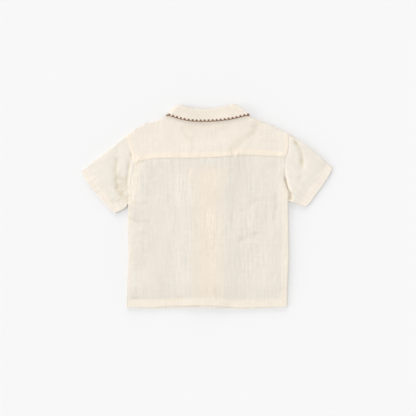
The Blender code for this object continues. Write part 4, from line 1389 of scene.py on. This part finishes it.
def linen(name, plain, turned_in, facing=None, streaks=1.0):
    """Plain-woven cloth of slubby yarn, lighter where more layers lie under it."""
    n = Nodes(name)
    grain = n.add("ShaderNodeUVMap", uv_map="grain").outputs[0]
    backed, faced, rim_shade, crease_shading = (
        n.add("ShaderNodeAttribute", attribute_name=mark).outputs["Fac"] for mark in MARKS
    )
    colour = n.mix(faced, (*plain, 1), (*(facing or plain), 1))
    colour = n.mix(backed, colour, (*turned_in, 1))
    slubby = n.ranged(n.noise(grain, (16, 11, 1)), 0.36, 0.64, 0.35, 1.5)
    # Painted highlight on the crease ridges, up to 3 % lighter
    tone, noises = n.ranged(crease_shading, 0.0, 1.0, 1.0, 1.03), []
    for scale, detail, roughness, swing, in_slubs in CLOTH_NOISE:
        noises.append(n.noise(grain, scale, detail, roughness))
        if in_slubs:
            off = n.ranged(noises[-1], 0.2, 0.8, -swing * streaks, swing * streaks)
            part = n.math("ADD", n.math("MULTIPLY", off, slubby), 1.0)
        else:
            part = n.ranged(noises[-1], 0.2, 0.8, 1 - swing, 1 + swing)
        tone = n.math("MULTIPLY", tone, part)
    # Painted shade at the rims
    colour = n.mix(rim_shade, colour, RIM_SHADE_TINT, "MULTIPLY")
    # Painted shade in the crease troughs
    colour = n.mix(n.ranged(crease_shading, -0.2, -2.6, 0.0, 1.0), colour, CREASE_SHADE_TINT, "MULTIPLY")
    toned = n.add("ShaderNodeVectorMath", operation="SCALE")
    n.put(colour, toned.inputs[0])
    n.put(tone, toned.inputs["Scale"])

    # The yarns drift a little to the sides, so that the weave isn't a perfect grid
    drift = n.noise(grain, (330, 330, 1), output="Color", noise_dimensions="2D")
    shifted = n.add("ShaderNodeVectorMath", operation="MULTIPLY_ADD")
    n.link(drift, shifted.inputs[0])
    shifted.inputs[1].default_value = (0.0009, 0.0009, 0)
    n.link(grain, shifted.inputs[2])
    parts = n.add("ShaderNodeSeparateXYZ")
    waves = math.pi / (THREAD_PITCH * MM)
    n.link(n.scaled(shifted.outputs[0], (waves, waves, 1)), parts.inputs[0])
    across, along = (n.math("SINE", parts.outputs[i]) for i in (0, 1))
    weave = n.math("ABSOLUTE", n.math("MULTIPLY", across, along))
    weave = n.math("ADD", weave, n.math("MULTIPLY", n.math("ABSOLUTE", across), 0.35))
    fine_warp, fine_weft = noises[:2]
    slubs = n.math("ADD", fine_warp, n.math("MULTIPLY", fine_weft, 0.7))
    first = n.bump(slubs, 0.00022, 0.6)
    second = n.bump(n.noise(grain, (95, 80, 1), 3, 0.55), 0.0008, 0.6, first)
    return n.surface(
        toned.outputs[0], n.bump(weave, 0.0001, 0.4, second), Roughness=0.9,
        Specular_IOR_Level=0.25, Sheen_Weight=0.06, Sheen_Roughness=0.5,
    )


def thread(name, dark, light):
    """Twisted yarn whose colour varies a little along it."""
    n = Nodes(name)
    place = n.add("ShaderNodeTexCoord").outputs["Object"]
    shade = n.ranged(n.noise(place, (520, 520, 520), 3, 0.6), 0.3, 0.7, 0.0, 1.0)
    plies = n.noise(place, (1400, 1400, 1400), 1)
    return n.surface(
        n.mix(shade, (*dark, 1), (*light, 1)), n.bump(plies, 0.0002, 0.6),
        Roughness=0.72, Sheen_Weight=0.1,
    )


def shell_finish(name):
    """Pale natural button shell with soft clouded bands."""
    n = Nodes(name)
    place = n.add("ShaderNodeTexCoord").outputs["Object"]
    clouds = n.noise(place, (260, 90, 160), 4, 0.6)
    bands = n.math("SINE", n.math("MULTIPLY", clouds, 26.0))
    share = n.ranged(bands, -1.0, 1.0, 0.0, 1.0)
    return n.surface(
        n.mix(share, (0.60, 0.47, 0.32, 1), (0.76, 0.66, 0.52, 1)), n.bump(clouds, 0.0001, 0.3),
        Roughness=n.ranged(clouds, 0.3, 0.7, 0.3, 0.42),
    )


def floor_finish(name):
    n = Nodes(name)
    grain = n.noise(n.add("ShaderNodeTexCoord").outputs["Object"], (3, 3, 3))
    pale = n.mix(grain, (0.948, 0.948, 0.948, 1), (0.952, 0.952, 0.952, 1))
    return n.surface(pale, Roughness=1.0, Specular_IOR_Level=0.0)


finishes = {
    **{name: linen(f"linen_{name}", *colours) for name, colours in LINENS.items()},
    **{name: thread(*colours) for name, colours in THREADS.items()},
    "button": shell_finish("button_shell"),
}

# The pieces

back, back_hem_row = make_back()
yoke = make_yoke()
fronts, front_hem_rows, sleeves, cuff_rows = {}, {}, {}, {}
for side in SIDES:
    fronts[side], front_hem_rows[side] = make_front(side)
    sleeves[side], cuff_rows[side] = make_sleeve(side)
sections = collar_sections()
band = Curve(sections, track=sections[:, -1])
collar = make_collar(band)
knots, loops = make_edging(band)

centres = [(CENTRE_FRONT, TOP_BUTTON - BUTTON_SPACING * i) for i in range(BUTTON_COUNT)]
buttons = [make_button(number, centre) for number, centre in enumerate(centres, start=1)]
button_thread = thread_object("button_thread", button_threads(centres), finishes["sewing"])

trees = {piece: tree_of(piece) for piece in (back, yoke, *fronts.values(), *sleeves.values())}
yoke_row = moved(yoke_seam, y=SEAM_GAP + YOKE_STITCH)
rows = {
    "back_stitching": stitches(trees[back], *evenly(back_hem_row), 71),
    "yoke_stitching": stitches(trees[yoke], *evenly(yoke_row), 72),
}
for side, inward in zip(SIDES, (-EDGE_STITCH, EDGE_STITCH)):
    tree, edge_row = trees[fronts[side]], moved(front_edges(side)[3], x=inward)
    rows[f"front_{side}_stitching"] = (
        stitches(tree, *evenly(front_hem_rows[side]), 73, underneath=True)
        + stitches(tree, *evenly(edge_row), 74, underneath=True)
    )
    tree, cuff_row = trees[sleeves[side]], stretch(cuff_rows[side], 0.02, 0.98)
    rows[f"sleeve_{side}_stitching"] = (
        stitches(tree, *evenly(cuff_row), 75)
        + stitches(tree, *evenly(cuff_row), 76, underneath=True)
    )
rows["front_left_stitching"] += buttonhole_bars(trees[fronts["left"]], centres)
sewing = {name: thread_object(name, parts, finishes["sewing"]) for name, parts in rows.items()}

for piece, node in (
    (back, "back_panel"), (yoke, "yoke"), (fronts["left"], "front_left"),
    (fronts["right"], "front_right"), (sleeves["left"], "sleeve_left"),
    (sleeves["right"], "sleeve_right"), (collar, "collar"), (knots, "collar_edging"),
):
    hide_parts(node)
for number, button in enumerate(buttons, start=1):
    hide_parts(f"button_{number}")
for piece in (
    back, yoke, *fronts.values(), *sleeves.values(), collar, button_thread, *sewing.values(),
):
    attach(piece, "root")
for piece in (knots, loops):
    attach(piece, "root")
for button in buttons:
    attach(button, "root")

# Surface, light and camera

surface = bpy.data.meshes.new("pale_floor")
corners = [(-1, -1), (1, -1), (1, 1), (-1, 1)]
places = [(x * FLOOR_HALF * MM, y * FLOOR_HALF * MM, FLOOR_Z * MM) for x, y in corners]
surface.from_pydata(places, [], [(0, 1, 2, 3)])
surface.materials.append(floor_finish("pale_surface"))
floor = added("pale_floor", surface)

world = bpy.data.worlds.new("studio")
world.use_nodes = True
nodes, links = world.node_tree.nodes, world.node_tree.links
nodes["Background"].inputs["Color"].default_value = (1, 1, 1, 1)
heading = nodes.new("ShaderNodeTexCoord")
height = nodes.new("ShaderNodeSeparateXYZ")
off_horizon = nodes.new("ShaderNodeMath")
off_horizon.operation = "ABSOLUTE"
glow = nodes.new("ShaderNodeMapRange")
glow.inputs["From Max"].default_value = GLOW_TOP
glow.inputs["To Min"].default_value = SKY_LIGHT + GLOW
glow.inputs["To Max"].default_value = SKY_LIGHT
links.new(heading.outputs["Generated"], height.inputs[0])
links.new(height.outputs["Z"], off_horizon.inputs[0])
links.new(off_horizon.outputs[0], glow.inputs["Value"])
links.new(glow.outputs[0], nodes["Background"].inputs["Strength"])
bpy.context.scene.world = world

for number, (share, turn, tilt, spread) in enumerate(SOFT_LIGHTS, start=1):
    lamp = bpy.data.lights.new(f"soft_light_{number}", "SUN")
    turn, tilt = math.radians(turn), math.radians(tilt)
    lamp.energy = share * math.pi / math.sin(tilt)
    lamp.angle = math.radians(spread)
    way = (math.cos(turn) * math.cos(tilt), math.sin(turn) * math.cos(tilt), math.sin(tilt))
    added(lamp.name, lamp).rotation_euler = Vector(way).to_track_quat("Z", "Y").to_euler()

lens = bpy.data.cameras.new("photo_camera")
camera = added("photo_camera", lens)
camera.location = Vector((*VIEW_CENTRE, CAMERA_HEIGHT)) * MM
lens.lens = lens.sensor_width * (CAMERA_HEIGHT - LAID_LEVEL) / PHOTO_WIDTH
lens.clip_end = 20
bpy.context.scene.camera = camera
bpy.context.scene.view_settings.view_transform = "Standard"
